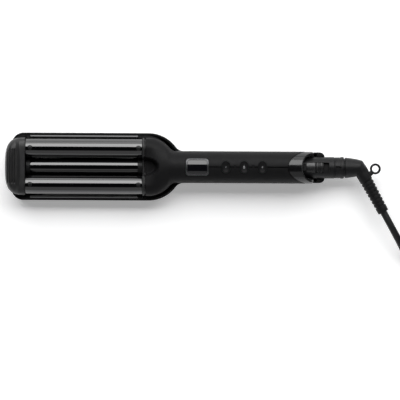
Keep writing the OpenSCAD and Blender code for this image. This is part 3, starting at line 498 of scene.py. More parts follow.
def crown_z(x, y, half, inset=0):
    """Height of the upper arm's skin at x and y, where its half width is half."""
    t = smooth((x - DOME_X) / (DOME_NECK - DOME_X))
    arch = np.sqrt(np.maximum(0, 1 - (y / half) ** 2))
    crease = CREASE_H * np.maximum(0, 1 - ((x - DOME_NECK + 2.5) / CREASE_RUN) ** 2)
    rear = mix(BARREL_Z, UP_Z, t) + (mix(DOME_TOP - BARREL_Z, HANDLE_R, t) - crease) * arch
    top = mix(front_z(y), rear, smooth((x - DOME_X) / HUMP_RUN))
    return mix(top, CAVE_Z, cave(x, y, inset))


def up_section(x, inset):
    """The upper arm's section: -y rim, crown, +y rim."""
    half = shoulder_w(x, DOME_CX, DOME_HALF, DOME_FILLET, HANDLE_R)
    angles = np.linspace(pi, 0, CROWN_STEPS + 1)
    y = half * np.cos(angles)
    z = crown_z(x, y, half, inset) - inset * np.sin(angles)
    arch = at_x(x, y - inset * np.cos(angles), z)
    return np.vstack([[x, inset - half, UP_RIM], arch, [x, half - inset, UP_RIM]])


# ---- Cord: the lead, the stored coil and the run to the plug ----

CORD_D = 0.007
COIL_CENTRE = (0.2903, -0.0815)
COIL_R = 0.053
COIL_START = 209
COIL_TURNS = 3.2
COIL_PITCH = 0.0075
CORD_Z = 0.0041
LAYER_H = 0.0076
RELIEF_END = (0.209, -0.0442, 0.0195)
LEAD_POINTS = [RELIEF_END, (0.2124, -0.0503, 0.0195), (0.2158, -0.0565, 0.0192),
               (0.2201, -0.0642, 0.0178), (0.2245, -0.0721, 0.0152),
               (0.2289, -0.0801, 0.0118), (0.2332, -0.0879, 0.0084),
               (0.2371, -0.0949, 0.0058), (0.2405, -0.1011, 0.0044),
               (0.2439, -0.1072, 0.0041)]
END_POINTS = [(0.3441, -0.0782, 0.0117), (0.3452, -0.0692, 0.0114),
              (0.3465, -0.0583, 0.0096), (0.3478, -0.0474, 0.0072),
              (0.349, -0.0375, 0.0053), (0.3495, -0.0275, 0.0043),
              (0.3478, -0.0174, 0.0041), (0.3434, -0.0086, 0.0041),
              (0.3368, -0.0014, 0.0041), (0.3283, 0.0036, 0.0046),
              (0.3184, 0.0058, 0.0058), (0.309, 0.006, 0.007), (0.302, 0.006, 0.007)]


def coil_point(share):
    sweep = 360 * COIL_TURNS
    angle = 2 * sweep * share
    radius = COIL_R - COIL_PITCH * (COIL_TURNS - abs(angle - sweep) / 360)
    turn = radians(COIL_START + angle)
    climb = smooth((angle - sweep + 90) / 180)
    return (COIL_CENTRE[0] + radius * cos(turn),
            COIL_CENTRE[1] + radius * sin(turn), CORD_Z + LAYER_H * climb)


def smooth_line(points, steps):
    """A Catmull-Rom line through points, with steps pieces between each two."""
    p = np.array(points, float)
    p = np.vstack([2 * p[0] - p[1], p, 2 * p[-1] - p[-2]])
    line = []
    for i in range(1, len(p) - 2):
        for t in np.arange(steps) / steps:
            line.append(0.5 * (2 * p[i] + (p[i + 1] - p[i - 1]) * t
                               + (2 * p[i - 1] - 5 * p[i] + 4 * p[i + 1] - p[i + 2]) * t ** 2
                               + (3 * p[i] - p[i - 1] - 3 * p[i + 1] + p[i + 2]) * t ** 3))
    return np.vstack([line, p[-2]])


COIL_STEPS = 150
route = smooth_line(LEAD_POINTS + [coil_point(i / COIL_STEPS) for i in range(1, COIL_STEPS + 1)]
                    + END_POINTS, 4)

cord_curve = bpy.data.curves.new("mains_cord", "CURVE")
cord_curve.dimensions = "3D"
cord_curve.bevel_depth = CORD_D / 2
cord_curve.bevel_resolution = 6
cord_curve.use_fill_caps = True
spline = cord_curve.splines.new("POLY")
spline.points.add(len(route) - 1)
for point, place_at in zip(spline.points, route):
    point.co = (*place_at, 1)
cord_curve.materials.append(CORD_RUBBER)
mains_cord = added("mains_cord", cord_curve)
place(mains_cord, "swivel", "cord_rubber", "cord_lead", "cord_coil", "cord_end")


# ---- Floor, lamps and world ----

FLOOR_HALF = 20000
FLOOR_TONE = (0.7, 0.7, 0.71, 1)
FLOOR_SEEN = (0.95, 0.95, 0.953, 1)
FLOOR_GLOW = 0.25
FAR_FLOOR = (0.36, 0.9)


def add_floor():
    """A floor that is white to the camera, most of all far from the object."""
    material, tree, shader = node_tree("floor")
    seen = add_node(tree, "LightPath")
    shown = calculate(tree, "MAXIMUM", calculate(tree, "MAXIMUM", seen["Is Camera Ray"],
                                                 seen["Is Glossy Ray"]),
                      seen["Is Transmission Ray"])
    tone = add_node(tree, "Mix", {"A": FLOOR_TONE, "B": FLOOR_SEEN, "Factor": shown},
                    data_type="RGBA")
    away = add_node(tree, "VectorMath", {0: add_node(tree, "NewGeometry")["Position"]},
                    operation="LENGTH")["Value"]
    far_glow = calculate(tree, "MULTIPLY", ramp(tree, away, FAR_FLOOR, (0, 1)),
                         seen["Is Camera Ray"])
    glow = calculate(tree, "ADD", calculate(tree, "MULTIPLY", shown, FLOOR_GLOW), far_glow)
    wire(tree, shader, {"Base Color": tone["Result"], "Emission Strength": glow,
                        "Emission Color": (1, 1, 1, 1), "Roughness": 0.9,
                        "Specular IOR Level": 0.1})
    corners = [(FLOOR_HALF * sx, FLOOR_HALF * sy, 0)
               for sx, sy in ((-1, -1), (1, -1), (1, 1), (-1, 1))]
    mesh_piece("floor", corners, [(0, 1, 2, 3)], material)


def panel(name, tilt, distance, spread_angle, length, radiance):
    """A long soft panel over the object, tilt degrees from straight up towards +Y."""
    data = bpy.data.lights.new(name, "AREA")
    data.shape = "RECTANGLE"
    data.size = length
    data.size_y = 2 * distance * tan(radians(spread_angle / 2))
    data.energy = pi * radiance * data.size * data.size_y
    lamp = added(name, data)
    a = radians(tilt)
    lamp.location = (0, distance * sin(a), distance * cos(a))
    lamp.rotation_euler = (-a, 0, 0)
    lamp.visible_camera = False


def add_lights():
    """Three panels, and a world that is bright low down at the sides, and white to the camera."""
    panel("key_panel", 37, 1.7, 38, 3.0, 4.2)
    panel("side_panel", 69, 1.9, 22, 3.0, 1.6)
    panel("fill_panel", -57, 1.7, 54, 3.0, 0.4)
    world = bpy.data.worlds.new("studio")
    world.use_nodes = True
    bpy.context.scene.world = world
    tree = world.node_tree
    way = add_node(tree, "SeparateXYZ", {0: add_node(tree, "TexCoord")["Generated"]})
    rise = ramp(tree, way["Z"], (0.04, 0.36), (0.9, 0.03), "SMOOTHSTEP")
    beside = ramp(tree, calculate(tree, "ABSOLUTE", way["Y"]), (0.1, 0.85), (0.12, 1),
                  "SMOOTHSTEP")
    strength = calculate(tree, "MAXIMUM", calculate(tree, "MULTIPLY", rise, beside),
                         add_node(tree, "LightPath")["Is Camera Ray"])
    wire(tree, tree.nodes["Background"], {"Color": (0.95, 0.97, 1, 1), "Strength": strength})


add_floor()
add_lights()


# ---- Lower arm ----

RIM_R = 0.45
RIM_STEPS = 3


def eased(section, inward, up):
    """Round a section's two rims: inward is 1 on an outer skin, -1 on an inner one."""
    angles = np.linspace(pi / 2, 0, RIM_STEPS + 1)

    def rim(point):
        side = copysign(1, point[1])
        bent = np.tile(np.asarray(point, float), (RIM_STEPS + 1, 1))
        bent[:, 1] -= side * inward * RIM_R * (1 - np.cos(angles))
        bent[:, 2] += up * RIM_R * (1 - np.sin(angles))
        return bent
    return np.vstack([rim(section[0]), section[1:-1], rim(section[-1])[::-1]])


def shell_piece(name, outer, inner, up, walled=False):
    """A soft-touch moulding between rows of outer and inner sections, with round rims."""
    skins = [[eased(row, 1, up) for row in outer], [eased(row, -1, up) for row in inner]]
    rows, cols = len(outer), len(skins[0][0])
    count = rows * cols
    lines = grid_rows(rows, cols)
    faces = grid_faces(lines)
    faces += [tuple(v + count for v in face) for face in faces]
    edges = [[line[j] for line in lines] for j in (0, -1)] + [lines[-1]]
    if not walled:
        edges.append(lines[0])
    for edge in edges:
        faces += strip(edge, [v + count for v in edge])
    if walled:
        faces += [tuple(range(cols)), tuple(j + count for j in range(cols)),
                  (0, count, count + cols - 1, cols - 1)]
    points = np.concatenate([row for skin in skins for row in skin])
    return mesh_piece(name, points, faces, SOFT_TOUCH)


CUP_X = HINGE_X - 2.5
CUP_INSET = 0.6
CUP_WALL = 2
REAR_WALL_X = HINGE_X + 9
CUP_END = HINGE_X + 14
CUP_TAPER = 2.85
RELIEF_DEPTH = 3.2


def with_rim(section, rim):
    section = section.copy()
    section[[0, -1], 2] = rim
    return section


def tail_arc(x, radius, count):
    """Lower half of a circle round the tail's axis, from rim to rim."""
    lift = asin((LOW_RIM - PART_Z) / radius)
    angles = np.linspace(lift, -pi - lift, count)
    return at_x(x, radius * np.cos(angles), PART_Z + radius * np.sin(angles))


def add_lower_shell():
    """The lower tray, shoulder, handle half and the cup round the hinge."""
    span = JAW_NECK - JAW_TIP
    xs = np.concatenate([
        JAW_TIP + JAW_CORNER * (1 - np.cos(np.linspace(0, pi / 2, 15))),
        np.linspace(JAW_TIP + JAW_CORNER, JAW_CX, 13)[1:],
        np.linspace(JAW_CX, JAW_NECK, 49)[1:]])
    outer = [low_section(x, 0) for x in xs]
    inner = [low_section(JAW_TIP + WALL + (x - JAW_TIP) * (span - WALL) / span, WALL)
             for x in xs]
    drop = LOW_RIM - RELIEF_DEPTH
    stations = [(x, 0, WALL, LOW_RIM) for x in np.linspace(JAW_NECK + 4, CUP_X - 0.3, 14)]
    stations.append((CUP_X, 0.25, WALL, LOW_RIM))
    stations += [(x, CUP_INSET, CUP_INSET + CUP_WALL, rim) for x, rim in
                 ((CUP_X + 0.05, LOW_RIM), (HINGE_X + 1.5, LOW_RIM), (HINGE_X + 6, drop),
                  (REAR_WALL_X - 0.1, drop))]
    for x, out_by, in_by, rim in stations:
        outer.append(with_rim(low_section(x, out_by), rim))
        inner.append(with_rim(low_section(x, in_by), rim))
    count = len(outer[0])
    bore = TAIL_R + 0.05
    for x in (REAR_WALL_X, CUP_END - CUP_TAPER):
        outer.append(low_section(x, CUP_INSET))
        inner.append(tail_arc(x, bore, count))
    last = outer[-1]
    for share in (0.2, 0.4, 0.58, 0.74, 0.86, 0.94, 0.985, 1):
        x = CUP_END - CUP_TAPER + share * (2 * CUP_TAPER - 0.2)
        narrow = 1 - sqrt(1 - share ** 2)
        row = mix(last, tail_arc(x, TAIL_R + 0.3, count), narrow)
        row[:, 0] = x
        outer.append(row)
        inner.append(tail_arc(x, bore, count))
    place(shell_piece("lower_shell", outer, inner, up=-1, walled=True),
          "lower_arm", "soft_black", "lower_housing")


VALLEY_R = BARREL_R + 1.5
CREST_Z = BARREL_Z - sqrt((BARREL_R + VALLEY_R) ** 2 - BARREL_Y ** 2)
CREST_ANGLE = atan2(BARREL_Z - CREST_Z, BARREL_Y)
BEAD_R = 1.5
PLATE_WALL = 1.5
BEAD_Y = JAW_HALF - WALL - 0.1 - BEAD_R
BEAD_Z = BARREL_Z - sqrt((VALLEY_R + BEAD_R) ** 2 - (BEAD_Y - BARREL_Y) ** 2)
BEAD_ANGLE = atan2(BEAD_Z - BARREL_Z, BEAD_Y - BARREL_Y)


def turn_points(centre, radius, start, end, steps):
    """Points of an arc in a plane, angles in radians."""
    return on_circle(centre, radius, np.linspace(start, end, steps + 1))


def add_wave_plate():
    """The plate with its crest, two valleys and side beads."""
    axis = (BARREL_Y, BARREL_Z)
    turn = pi + CREST_ANGLE
    half = turn_points((BEAD_Y, BEAD_Z), BEAD_R, -pi / 2, pi + BEAD_ANGLE, 14)
    half += turn_points(axis, VALLEY_R, BEAD_ANGLE, turn - 2 * pi, 40)[1:]
    half += turn_points((0, CREST_Z), BARREL_R, CREST_ANGLE, pi / 2, 20)[1:]
    below = turn_points((0, CREST_Z), BARREL_R - PLATE_WALL, pi / 2, CREST_ANGLE, 16)
    below += turn_points(axis, VALLEY_R + PLATE_WALL, turn - 2 * pi, BEAD_ANGLE, 32)[1:-3]
    outline = half + [(-y, z) for y, z in reversed(half[:-1])]
    outline += [(-y, z) for y, z in reversed(below)] + below[1:]
    plate = prism("wave_plate", outline, low("wave_plate")[0], high("wave_plate")[0], CERAMIC,
                  axis="x")
    place(bevel(plate, 0.35, limit=60), "lower_arm", "ceramic_black", "wave_plate")


# ---- Tail, lock and swivel ----

LOCK_X = HINGE_X - 2
LOCK_L = 16.8
LOCK_TRAVEL = 6
LOCK_HALF = high("lock_slider")[1] - 0.7
LOCK_BASE = low("lock_slider")[2] - 0.1
LOCK_TOP = high("lock_slider")[2] - PART_Z
CAVITY_R = 8.2
TAIL_AXIS = (0, 0, PART_Z)


def add_tail():
    """The round tail, with the slider's slot and the swivel's chamber."""
    front = low("tail_housing")[0]
    middle_x = (140, 150)
    tail = turned("tail", [(front, TAIL_R - 0.4), (front + 0.4, TAIL_R)]
                  + [(x, TAIL_R) for x in middle_x]
                  + [(TAIL_X - 0.35, TAIL_R), (TAIL_X, TAIL_R - 0.35)],
                  MOULDED, TAIL_AXIS)
    slot_end = LOCK_X + LOCK_L + LOCK_TRAVEL + 0.3
    middle = ((LOCK_X + slot_end) / 2, 0)
    half_l = (slot_end - LOCK_X) / 2
    cuts = [prism("slot", rounded_box(half_l, LOCK_HALF + 0.15, 1.6, centre=middle),
                  LOCK_BASE, PART_Z + TAIL_R + 1, MOULDED),
            prism("undercut", rounded_box(half_l, LOCK_HALF + 0.9, 0.6, 3, middle),
                  LOCK_BASE - 0.01, LOCK_BASE + 1.7, MOULDED),
            prism("tongue_way", rounded_box(4.5, 3.3, 0.3, 2, (front + 3.4, 0)),
                  PART_Z + LOCK_TOP - 2.8, PART_Z + TAIL_R + 1, MOULDED),
            turned("chamber", [(TAIL_X - 4.5, CAVITY_R), (TAIL_X + 1, CAVITY_R)], MOULDED,
                   TAIL_AXIS, sides=64)]
    place(cut(tail, *cuts), "lower_arm", "black_plastic", "tail_housing")


def groove(x, centre, half, depth):
    """Depth at x of a smooth groove."""
    return depth * max(0, cos(min(1, abs(x - centre) / half) * pi / 2)) ** 1.2


SLIDER_GROOVES = (0.4, 3.7, 7)
SLIDER_EDGE = 0.4
SLIDER_SIDE = 0.35
SLIDER_FOOT = 0.7


def add_slider():
    """The lock slider: a round pad with ribs, a foot under the slot's edges and a tongue."""
    x0 = LOCK_X + 0.1
    x1 = LOCK_X + LOCK_L
    ys = LOCK_HALF * np.sin(np.linspace(-pi / 2, pi / 2, 25))
    past_side = np.maximum(0, (abs(ys) - LOCK_HALF + SLIDER_SIDE) / SLIDER_SIDE)
    side = SLIDER_SIDE * (1 - np.sqrt(np.maximum(0, 1 - past_side ** 2)))
    half, wide = LOCK_HALF, LOCK_HALF + SLIDER_FOOT
    low_z, high_z = LOCK_BASE + 0.1, LOCK_BASE + 1.5
    foot = [(half, high_z), (wide, high_z), (wide, low_z), (-wide, low_z), (-wide, high_z),
            (-half, high_z)]
    steps = np.concatenate([[0, 0.15, 0.4], np.linspace(0.8, LOCK_L - 0.6, 80),
                            [LOCK_L - 0.3, LOCK_L - 0.15, LOCK_L - 0.1]])
    loops = []
    for x in x0 + steps:
        short = max(0, SLIDER_EDGE - min(x - x0, x1 - x))
        edge = SLIDER_EDGE - sqrt(max(0, SLIDER_EDGE ** 2 - short ** 2))
        dip = max(groove(x, x1 - back, 1.2, 1.5) for back in SLIDER_GROOVES)
        radius = LOCK_TOP - dip - edge
        top = at_x(x, ys, PART_Z + np.sqrt(radius ** 2 - ys ** 2) - side)
        loops.append(np.vstack([top, [(x, y, z) for y, z in foot]]))
    body = loops_piece("body", loops, SLIDER_BLACK)
    tongue_x = low("lock_slider")[0]
    tongue = prism("tongue", rounded_box((x0 - tongue_x) / 2 + 0.5, 3, 0.4, 3,
                                         ((x0 + tongue_x) / 2 + 0.5, 0)),
                   PART_Z + LOCK_TOP - 2.6, PART_Z + LOCK_TOP - 0.6, GRIP_BLACK)
    place(joined("lock_slider_skin", [body, tongue]), "lock", "black_plastic", "lock_slider")


def add_swivel_collar():
    """The collar behind the tail, with its raised ring and index window."""
    ring_x = SWIVEL_X - 3.4
    side = TAIL_R - 0.3
    ring = TAIL_R + 0.15
    profile = [(TAIL_X, CAVITY_R), (TAIL_X, side - 0.5), (TAIL_X + 0.25, side - 0.1),
               (TAIL_X + 0.3, side), (TAIL_X + 0.8, side), (TAIL_X + 0.85, side - 0.35),
               (TAIL_X + 1.15, side - 0.35), (TAIL_X + 1.2, side), (ring_x - 0.1, side),
               (ring_x, side + 0.05), (ring_x + 0.15, ring - 0.15), (ring_x + 0.4, ring),
               (SWIVEL_X - 0.7, ring), (SWIVEL_X - 0.25, ring - 0.2), (SWIVEL_X, ring - 0.7),
               (SWIVEL_X, 5.05), (SWIVEL_X - 4.6, 5.05), (SWIVEL_X - 4.6, CAVITY_R)]
    collar = turned("swivel_collar_skin", profile + profile[:1], MOULDED, TAIL_AXIS,
                    caps=False)
    start = TAIL_X + 0.9
    end = start + 3.9
    half = 1.45
    notch = [(start, -half), (end, -half)]
    notch += arc((end, 0), half, -80, 80, 8) + [(end, half), (start, half)]
    cut(collar, prism("notch", notch, PART_Z + CAVITY_R + 0.35, PART_Z + ring + 1, MOULDED))
    place(collar, "lower_arm", "black_plastic", "swivel_collar")


BEND_X = ELBOW_X + 14.6
RELIEF_WAY = np.array(RELIEF_END) / MM - (BEND_X, 0, PART_Z)
RELIEF_L = float(np.linalg.norm(RELIEF_WAY))
RELIEF_WAY = RELIEF_WAY / RELIEF_L
RELIEF_R = (6.8, 5.5)
RIB_COUNT = 8
RIB_START = 15
RIB_REST = 4
NECK_GAP = 0.3
NECK_R = 9.1
ELBOW_SKIN = ((0, NECK_R), (0.05, 10), (0.3, 10.3), (4, 9.9), (8, 9.35), (11.5, 8.8))
ELBOW_TURN = ((0.1, 13.3, 8.45), (0.2, 14.2, 8.25), (0.32, 14.9, 8))
RIB_GROOVE = ((-0.12, 0), (0.1, 0.2), (0.25, 0.75), (1.2, 0.8), (1.4, 0.2), (1.6, 0.02))
EYE_AT = (16, -0.9)
EYE_R = 4.4
EYE_SECTION = (1.1, 1.3, 0.7)
WEB_PLAN = ((11.6, -2.3), (14.4, -5.6), (9.5, -11), (5.5, -7))
WEB_HALF = 1.2
RING_SIDES = 64


def plan_ring(centre, normal, radius):
    """A circle whose plane stands upright, across a direction in plan."""
    normal = np.array([normal[0], normal[1], 0.0])
    normal /= np.linalg.norm(normal)
    across = np.array([-normal[1], normal[0], 0])
    angles = np.arange(RING_SIDES) * 2 * pi / RING_SIDES
    return (np.asarray(centre, float) + radius * np.outer(np.cos(angles), across)
            + radius * np.outer(np.sin(angles), [0, 0, 1]))


def add_elbow():
    """The elbow, its ribbed strain relief and the hanging eye."""
    rings = [plan_ring((SWIVEL_X + NECK_GAP, 0, PART_Z), (1, 0), r) for r in (5.2, NECK_R)]
    rings += [plan_ring((ELBOW_X + s, 0, PART_Z), (1, 0), r) for s, r in ELBOW_SKIN]
    turn = atan2(RELIEF_WAY[1], RELIEF_WAY[0])
    for share, s, r in ELBOW_TURN:
        rings.append(plan_ring((ELBOW_X + s, -0.15 - 0.8 * share, PART_Z),
                               (cos(turn * share), sin(turn * share)), r))
    bend = np.array([BEND_X, 0, PART_Z])
    rings.append(plan_ring(bend + 4.6 * RELIEF_WAY, (cos(turn * 0.8),
                                                     sin(turn * 0.8)), 7.1))
    profile = [(6.2, 6.85), (8, 6.75), (14.6, 6.5)]
    pitch = (RELIEF_L - RIB_START - RIB_REST) / RIB_COUNT
    for i in range(RIB_COUNT):
        s = RIB_START + i * pitch
        r = mix(*RELIEF_R, s / RELIEF_L)
        profile += [(s + run, r - depth) for run, depth in RIB_GROOVE]
        profile.append((s + pitch - 0.4, mix(*RELIEF_R, (s + pitch) / RELIEF_L) + 0.03))
    profile += [(RELIEF_L - 0.6, 5.5), (RELIEF_L - 0.15, 5.3), (RELIEF_L, 4.9),
                (RELIEF_L, 3.4)]
    rings += [plan_ring(bend + s * RELIEF_WAY, RELIEF_WAY, r) for s, r in profile]
    elbow = loops_piece("elbow", rings, RELIEF_RUBBER)
    centre = bend + (*EYE_AT, 0)
    section = rounded_box(*EYE_SECTION, 4)
    loops = []
    for a in np.arange(RING_SIDES) * 2 * pi / RING_SIDES:
        out = np.array([cos(a), sin(a), 0])
        loops.append([centre + (EYE_R + u) * out + np.array([0, 0, v]) for u, v in section])
    ring = loops_piece("ring", loops, RELIEF_RUBBER, ring=True)
    web = prism("web", [(BEND_X + x, y) for x, y in WEB_PLAN], PART_Z - WEB_HALF,
                PART_Z + WEB_HALF, RELIEF_RUBBER)
    skin = joined("cord_elbow_skin", [elbow, ring, bevel(web, 0.4)])
    return place(skin, "swivel", "cord_rubber", "cord_elbow")


# ---- Upper arm ----

CAP_END = HINGE_X + 1.5
CAP_REACH = 27.4
CAP_BACK = HINGE_X - 20.3 + CAP_REACH
CAP_REAR = HINGE_X + 5
CAP_REAR_REACH = 11.2
WINDOW_L = high("display_bezel")[0] - low("display_bezel")[0]
WINDOW_HALF = high("display_bezel")[1]
WINDOW_X = low("display_bezel")[0]
WINDOW_R = 3
FRAME_W = 1.5
BUTTONS = [("minus", "button_minus"), ("power", "button_power"), ("plus", "button_plus")]
BUTTON_X = [centre_of(n)[0] for _, n in BUTTONS]
BUTTON_HALF = (4.3, 6)


def crown(y):
    """Height of the handle's round top."""
    return float(UP_Z + np.sqrt(HANDLE_R ** 2 - y ** 2))


def stadium(half_l, half_w):
    """Outline of a pill, long across the handle."""
    return (arc((0, half_w - half_l), half_l, 0, 180, 16)
            + arc((0, half_l - half_w), half_l, 180, 360, 16))


def cap_front(y):
    return CAP_BACK - CAP_REACH * np.sqrt(np.maximum(0, 1 - (y / (HANDLE_R + 1)) ** 2))


DOME_FRONT = ((0, 0.95), (0.08, 0.6), (0.25, 0.3), (0.55, 0.08))
CAP_SEAM = 0.45
BUTTON_GAP = 0.22
WINDOW_GAP = 0.3
GROOVE_HALF = 0.5
GROOVE_DEPTH = 2.05
TICK_SIZE = (0.55, 2.1)


def add_upper_shell():
    """The dome and handle, cut for cap, window, buttons, centre groove and tick marks."""
    rows = [(DOME_X + run, inset) for run, inset in DOME_FRONT]
    rows += [(x, 0) for x in np.linspace(DOME_X + 0.95, HANDLE_X, 73)]
    rows += [(x, 0) for x in np.linspace(HANDLE_X, CAP_END, 16)[1:]]
    shell = shell_piece("upper_shell", [up_section(x, inset) for x, inset in rows],
                        [up_section(x, WALL) for x, _ in rows], up=1)
    top = UP_Z + HANDLE_R
    floor = low("display_bezel")[2] - 1

    def tool(outline, start):
        return prism("tool", outline, start, top + 1, SOFT_TOUCH)

    plan = [(CAP_BACK + (CAP_REACH + CAP_SEAM) * cos(a),
             (HANDLE_R + 1 + CAP_SEAM) * sin(a))
            for a in np.linspace(pi / 2, 3 * pi / 2, 49)]
    plan += [(CAP_BACK + 9, -HANDLE_R - 2), (CAP_BACK + 9, HANDLE_R + 2)]
    window = rounded_box(WINDOW_L / 2 + WINDOW_GAP, WINDOW_HALF + WINDOW_GAP, WINDOW_R,
                         centre=(WINDOW_X + WINDOW_L / 2, 0))
    tools = [tool(plan, PART_Z - 1), tool(window, floor)]
    pill = stadium(BUTTON_HALF[0] + BUTTON_GAP, BUTTON_HALF[1] + BUTTON_GAP)
    tools += [tool([(x + u, v) for u, v in pill], floor) for x in BUTTON_X]
    x0, x1 = WINDOW_X + WINDOW_L - 0.5, CAP_BACK - CAP_REACH + 1
    tools.append(tool([(x0, -GROOVE_HALF), (x1, -GROOVE_HALF), (x1, GROOVE_HALF),
                       (x0, GROOVE_HALF)], top - GROOVE_DEPTH))
    ticks = [(a + b) / 2 for a, b in zip(BUTTON_X, BUTTON_X[1:])]
    tools += [tool(rounded_box(1.25, 2.2, 0.5, 4, (x, 0)), top - 0.6) for x in ticks]
    cut(shell, *tools)
    place(shell, "upper_arm", "soft_black", "upper_housing")
    bars = []
    for x in ticks:
        loops = [[(x + u, v, crown(v) - drop) for u, v in
                  rounded_box(TICK_SIZE[0] - inset, TICK_SIZE[1] - inset, 0.4, 4)]
                 for inset, drop in ((0, 0.7), (0, 0.12), (0.12, 0.0))]
        bars.append(loops_piece("bar", loops, SOFT_TOUCH))
    place(joined("button_ticks", bars), "upper_arm", "soft_black")


def cushion(name, outline_at, heights, material, sharp):
    """A cap over nested outlines; heights gives each share of the outline its z at y."""
    loops = [[(x, y, height(y)) for x, y in outline_at(share)] for share, height in heights]
    return loops_piece(name, loops, material, sharp=sharp)


BUTTON_DISH = 1.8
DISH_SHARE = 0.95
BUTTON_SHARES = (1, 0.985, 0.965, 0.95, 0.9, 0.83, 0.75, 0.66, 0.56, 0.45, 0.34, 0.23, 0.12,
                 0.04)


def add_button(x, body, node):
    """A dished pill that fills its opening."""
    def outline(share):
        return [(x + u * share, v * share) for u, v in stadium(*BUTTON_HALF)]

    def dished(share):
        dish = BUTTON_DISH * max(0, 1 - (share / DISH_SHARE) ** 2)
        rim = 0.25 * max(0, (share - DISH_SHARE) / (1 - DISH_SHARE)) ** 2
        return lambda y: crown(y) - dish - rim
    heights = [(1, lambda y: UP_Z + 12.9)] + [(s, dished(s)) for s in BUTTON_SHARES]
    place(cushion("skin_" + node, outline, heights, SOFT_TOUCH, 60), body, "soft_black",
          node)


def add_icons():
    """Marks on the dishes: minus and plus printed, and a power ring whose lighter colour is painted glow."""
    dish_z = UP_Z + HANDLE_R - BUTTON_DISH
    long, thin = 0.95, 0.2

    def bar(x, half_x, half_y):
        return prism("bar", rounded_box(half_x, half_y, min(half_x, half_y) * 0.6, 3, (x, 0)),
                     dish_z - 0.15, dish_z + 0.05, ICON)

    minus, power, plus = BUTTON_X
    outer = arc((power, 0), 1.15, 125, 415, 28)
    inner = arc((power, 0), 0.8, 415, 125, 28)
    # The power ring takes the lighter colour as painted glow of its lit indicator.
    ring = prism("ring", outer + inner, dish_z - 0.15, dish_z + 0.08, GLOW_PAINTED_ICON)
    tick = prism("tick", rounded_box(0.18, 0.6, 0.108, 3, (power, 0.75)), dish_z - 0.15,
                 dish_z + 0.05, ICON)
    place(joined("icon_minus", [bar(minus, long, thin)]), "minus", "gloss_grey")
    place(joined("icon_plus", [bar(plus, long, thin), bar(plus, thin, long)]), "plus",
          "gloss_grey")
    place(joined("icon_power", [ring, tick]), "power", "gloss_grey")


FRAME_SECTION = ((0, -1.6), (0, 0.05), (0.12, 0.22), (0.35, 0.3), (0.75, 0.32), (1.15, 0.28),
                 (1.38, 0.15), (1.45, -0.1), (1.45, -1.6))
LENS_SHARES = (1, 0.98, 0.96, 0.94, 0.85, 0.75, 0.65, 0.55, 0.45, 0.35, 0.25, 0.15, 0.05)
LENS_EDGE = 0.94


def add_display():
    """The bright frame and the lens, both curved with the handle's top."""
    middle = WINDOW_X + WINDOW_L / 2
    half = np.array([WINDOW_L / 2, WINDOW_HALF])
    outer = np.array(fine(rounded_box(*half, WINDOW_R, 8)))
    rows = [outer * (1 - d / FRAME_W + d / FRAME_W * (half - FRAME_W) / half)
            for d, _ in FRAME_SECTION]
    loops = [[(middle + row[i][0], row[i][1], crown(row[i][1]) + h)
              for row, (_, h) in zip(rows, FRAME_SECTION)] for i in range(len(outer))]
    place(loops_piece("display_frame", loops, BRIGHT, ring=True), "upper_arm", "bright_frame",
          "display_bezel")

    def outline(share):
        shape = fine(rounded_box(*(half - FRAME_W - 0.02), WINDOW_R - FRAME_W * 0.6, 8))
        return [(middle + u * share, v * share) for u, v in shape]

    def face(share):
        fall = 0.2 * max(0, (share - LENS_EDGE) / (1 - LENS_EDGE)) ** 2
        return lambda y: crown(y) + 0.2 - fall
    heights = [(1, lambda y: crown(y) - 1.2)] + [(s, face(s)) for s in LENS_SHARES]
    place(cushion("display_window", outline, heights, LENS_BLACK, 38), "upper_arm", "lens_black",
          "display_lens")


OPENING = tan(radians(20))
CHAMFER = 0.9


def add_hinge_cap():
    """The glossy crescent over the hinge, chamfered along its rear edge."""
    side_z = np.linspace(UP_RIM, UP_Z, 7)[:-1]
    section = [(HANDLE_R, z, 1.0, 0.0) for z in side_z]
    section += [(HANDLE_R * cos(a), UP_Z + HANDLE_R * sin(a), cos(a),
                 sin(a)) for a in np.linspace(0, pi, 97)]
    section += [(-HANDLE_R, z, -1.0, 0.0) for z in side_z[::-1]]
    rear_half = HANDLE_R - 1.5
    slope = (UP_RIM - PART_Z) / 12 + OPENING
    loops = []
    for y, z, ny, nz in section:
        front = float(cap_front(y))
        rear = CAP_REAR
        if abs(y) < rear_half:
            rear -= CAP_REAR_REACH * sqrt(1 - (y / rear_half) ** 2)
        rear = min(rear, HINGE_X + max(0.4, (z - PART_Z) / slope))
        loop = [(front + 0.2, 0), (rear - CHAMFER, 0), (rear - 0.1, CHAMFER * 0.75),
                (rear, CHAMFER * 0.75 + 0.15), (rear, WALL), (front, WALL), (front, 0.2)]
        loops.append([(x, y - ny * d, z - nz * d) for x, d in loop])
    shell = loops_piece("shell", loops, GLOSS_GREY)
    catch_x = low("lock_slider")[0] - 1.5
    catch = prism("catch", rounded_box(0.9, 3, 0.3, 2, (catch_x - 0.9, 0)),
                  PART_Z + LOCK_TOP + 0.7, UP_Z + HANDLE_R - WALL + 0.3, GLOSS_GREY)
    place(joined("hinge_cap_skin", [shell, catch]), "upper_arm", "gloss_grey", "hinge_cap")


CAP_L = CAP_X - TIP_X
CAP_HALF = high("tip_cap")[1]
CAP_TOP = high("tip_cap")[2]
CAP_SIDE = BARREL_Z - 0.4
FLARE_Z = BARREL_Z + BARREL_R - 0.9
TIP_POWER = 2 / 3.2
MOUND_RUN = 5
GRIP_X = CAP_X - 9.8
GRIP_PITCH = 2.35
GRIP_COUNT = 4
GRIP_Y = 17.5
GRIP_DEPTH = 1.3
ROUND_RUN = 0.42
ROUND_POWER = 2.8
LIP = 0.4
STUB_L = 8
STUB_R = BARREL_R - BARREL_WALL - 0.1


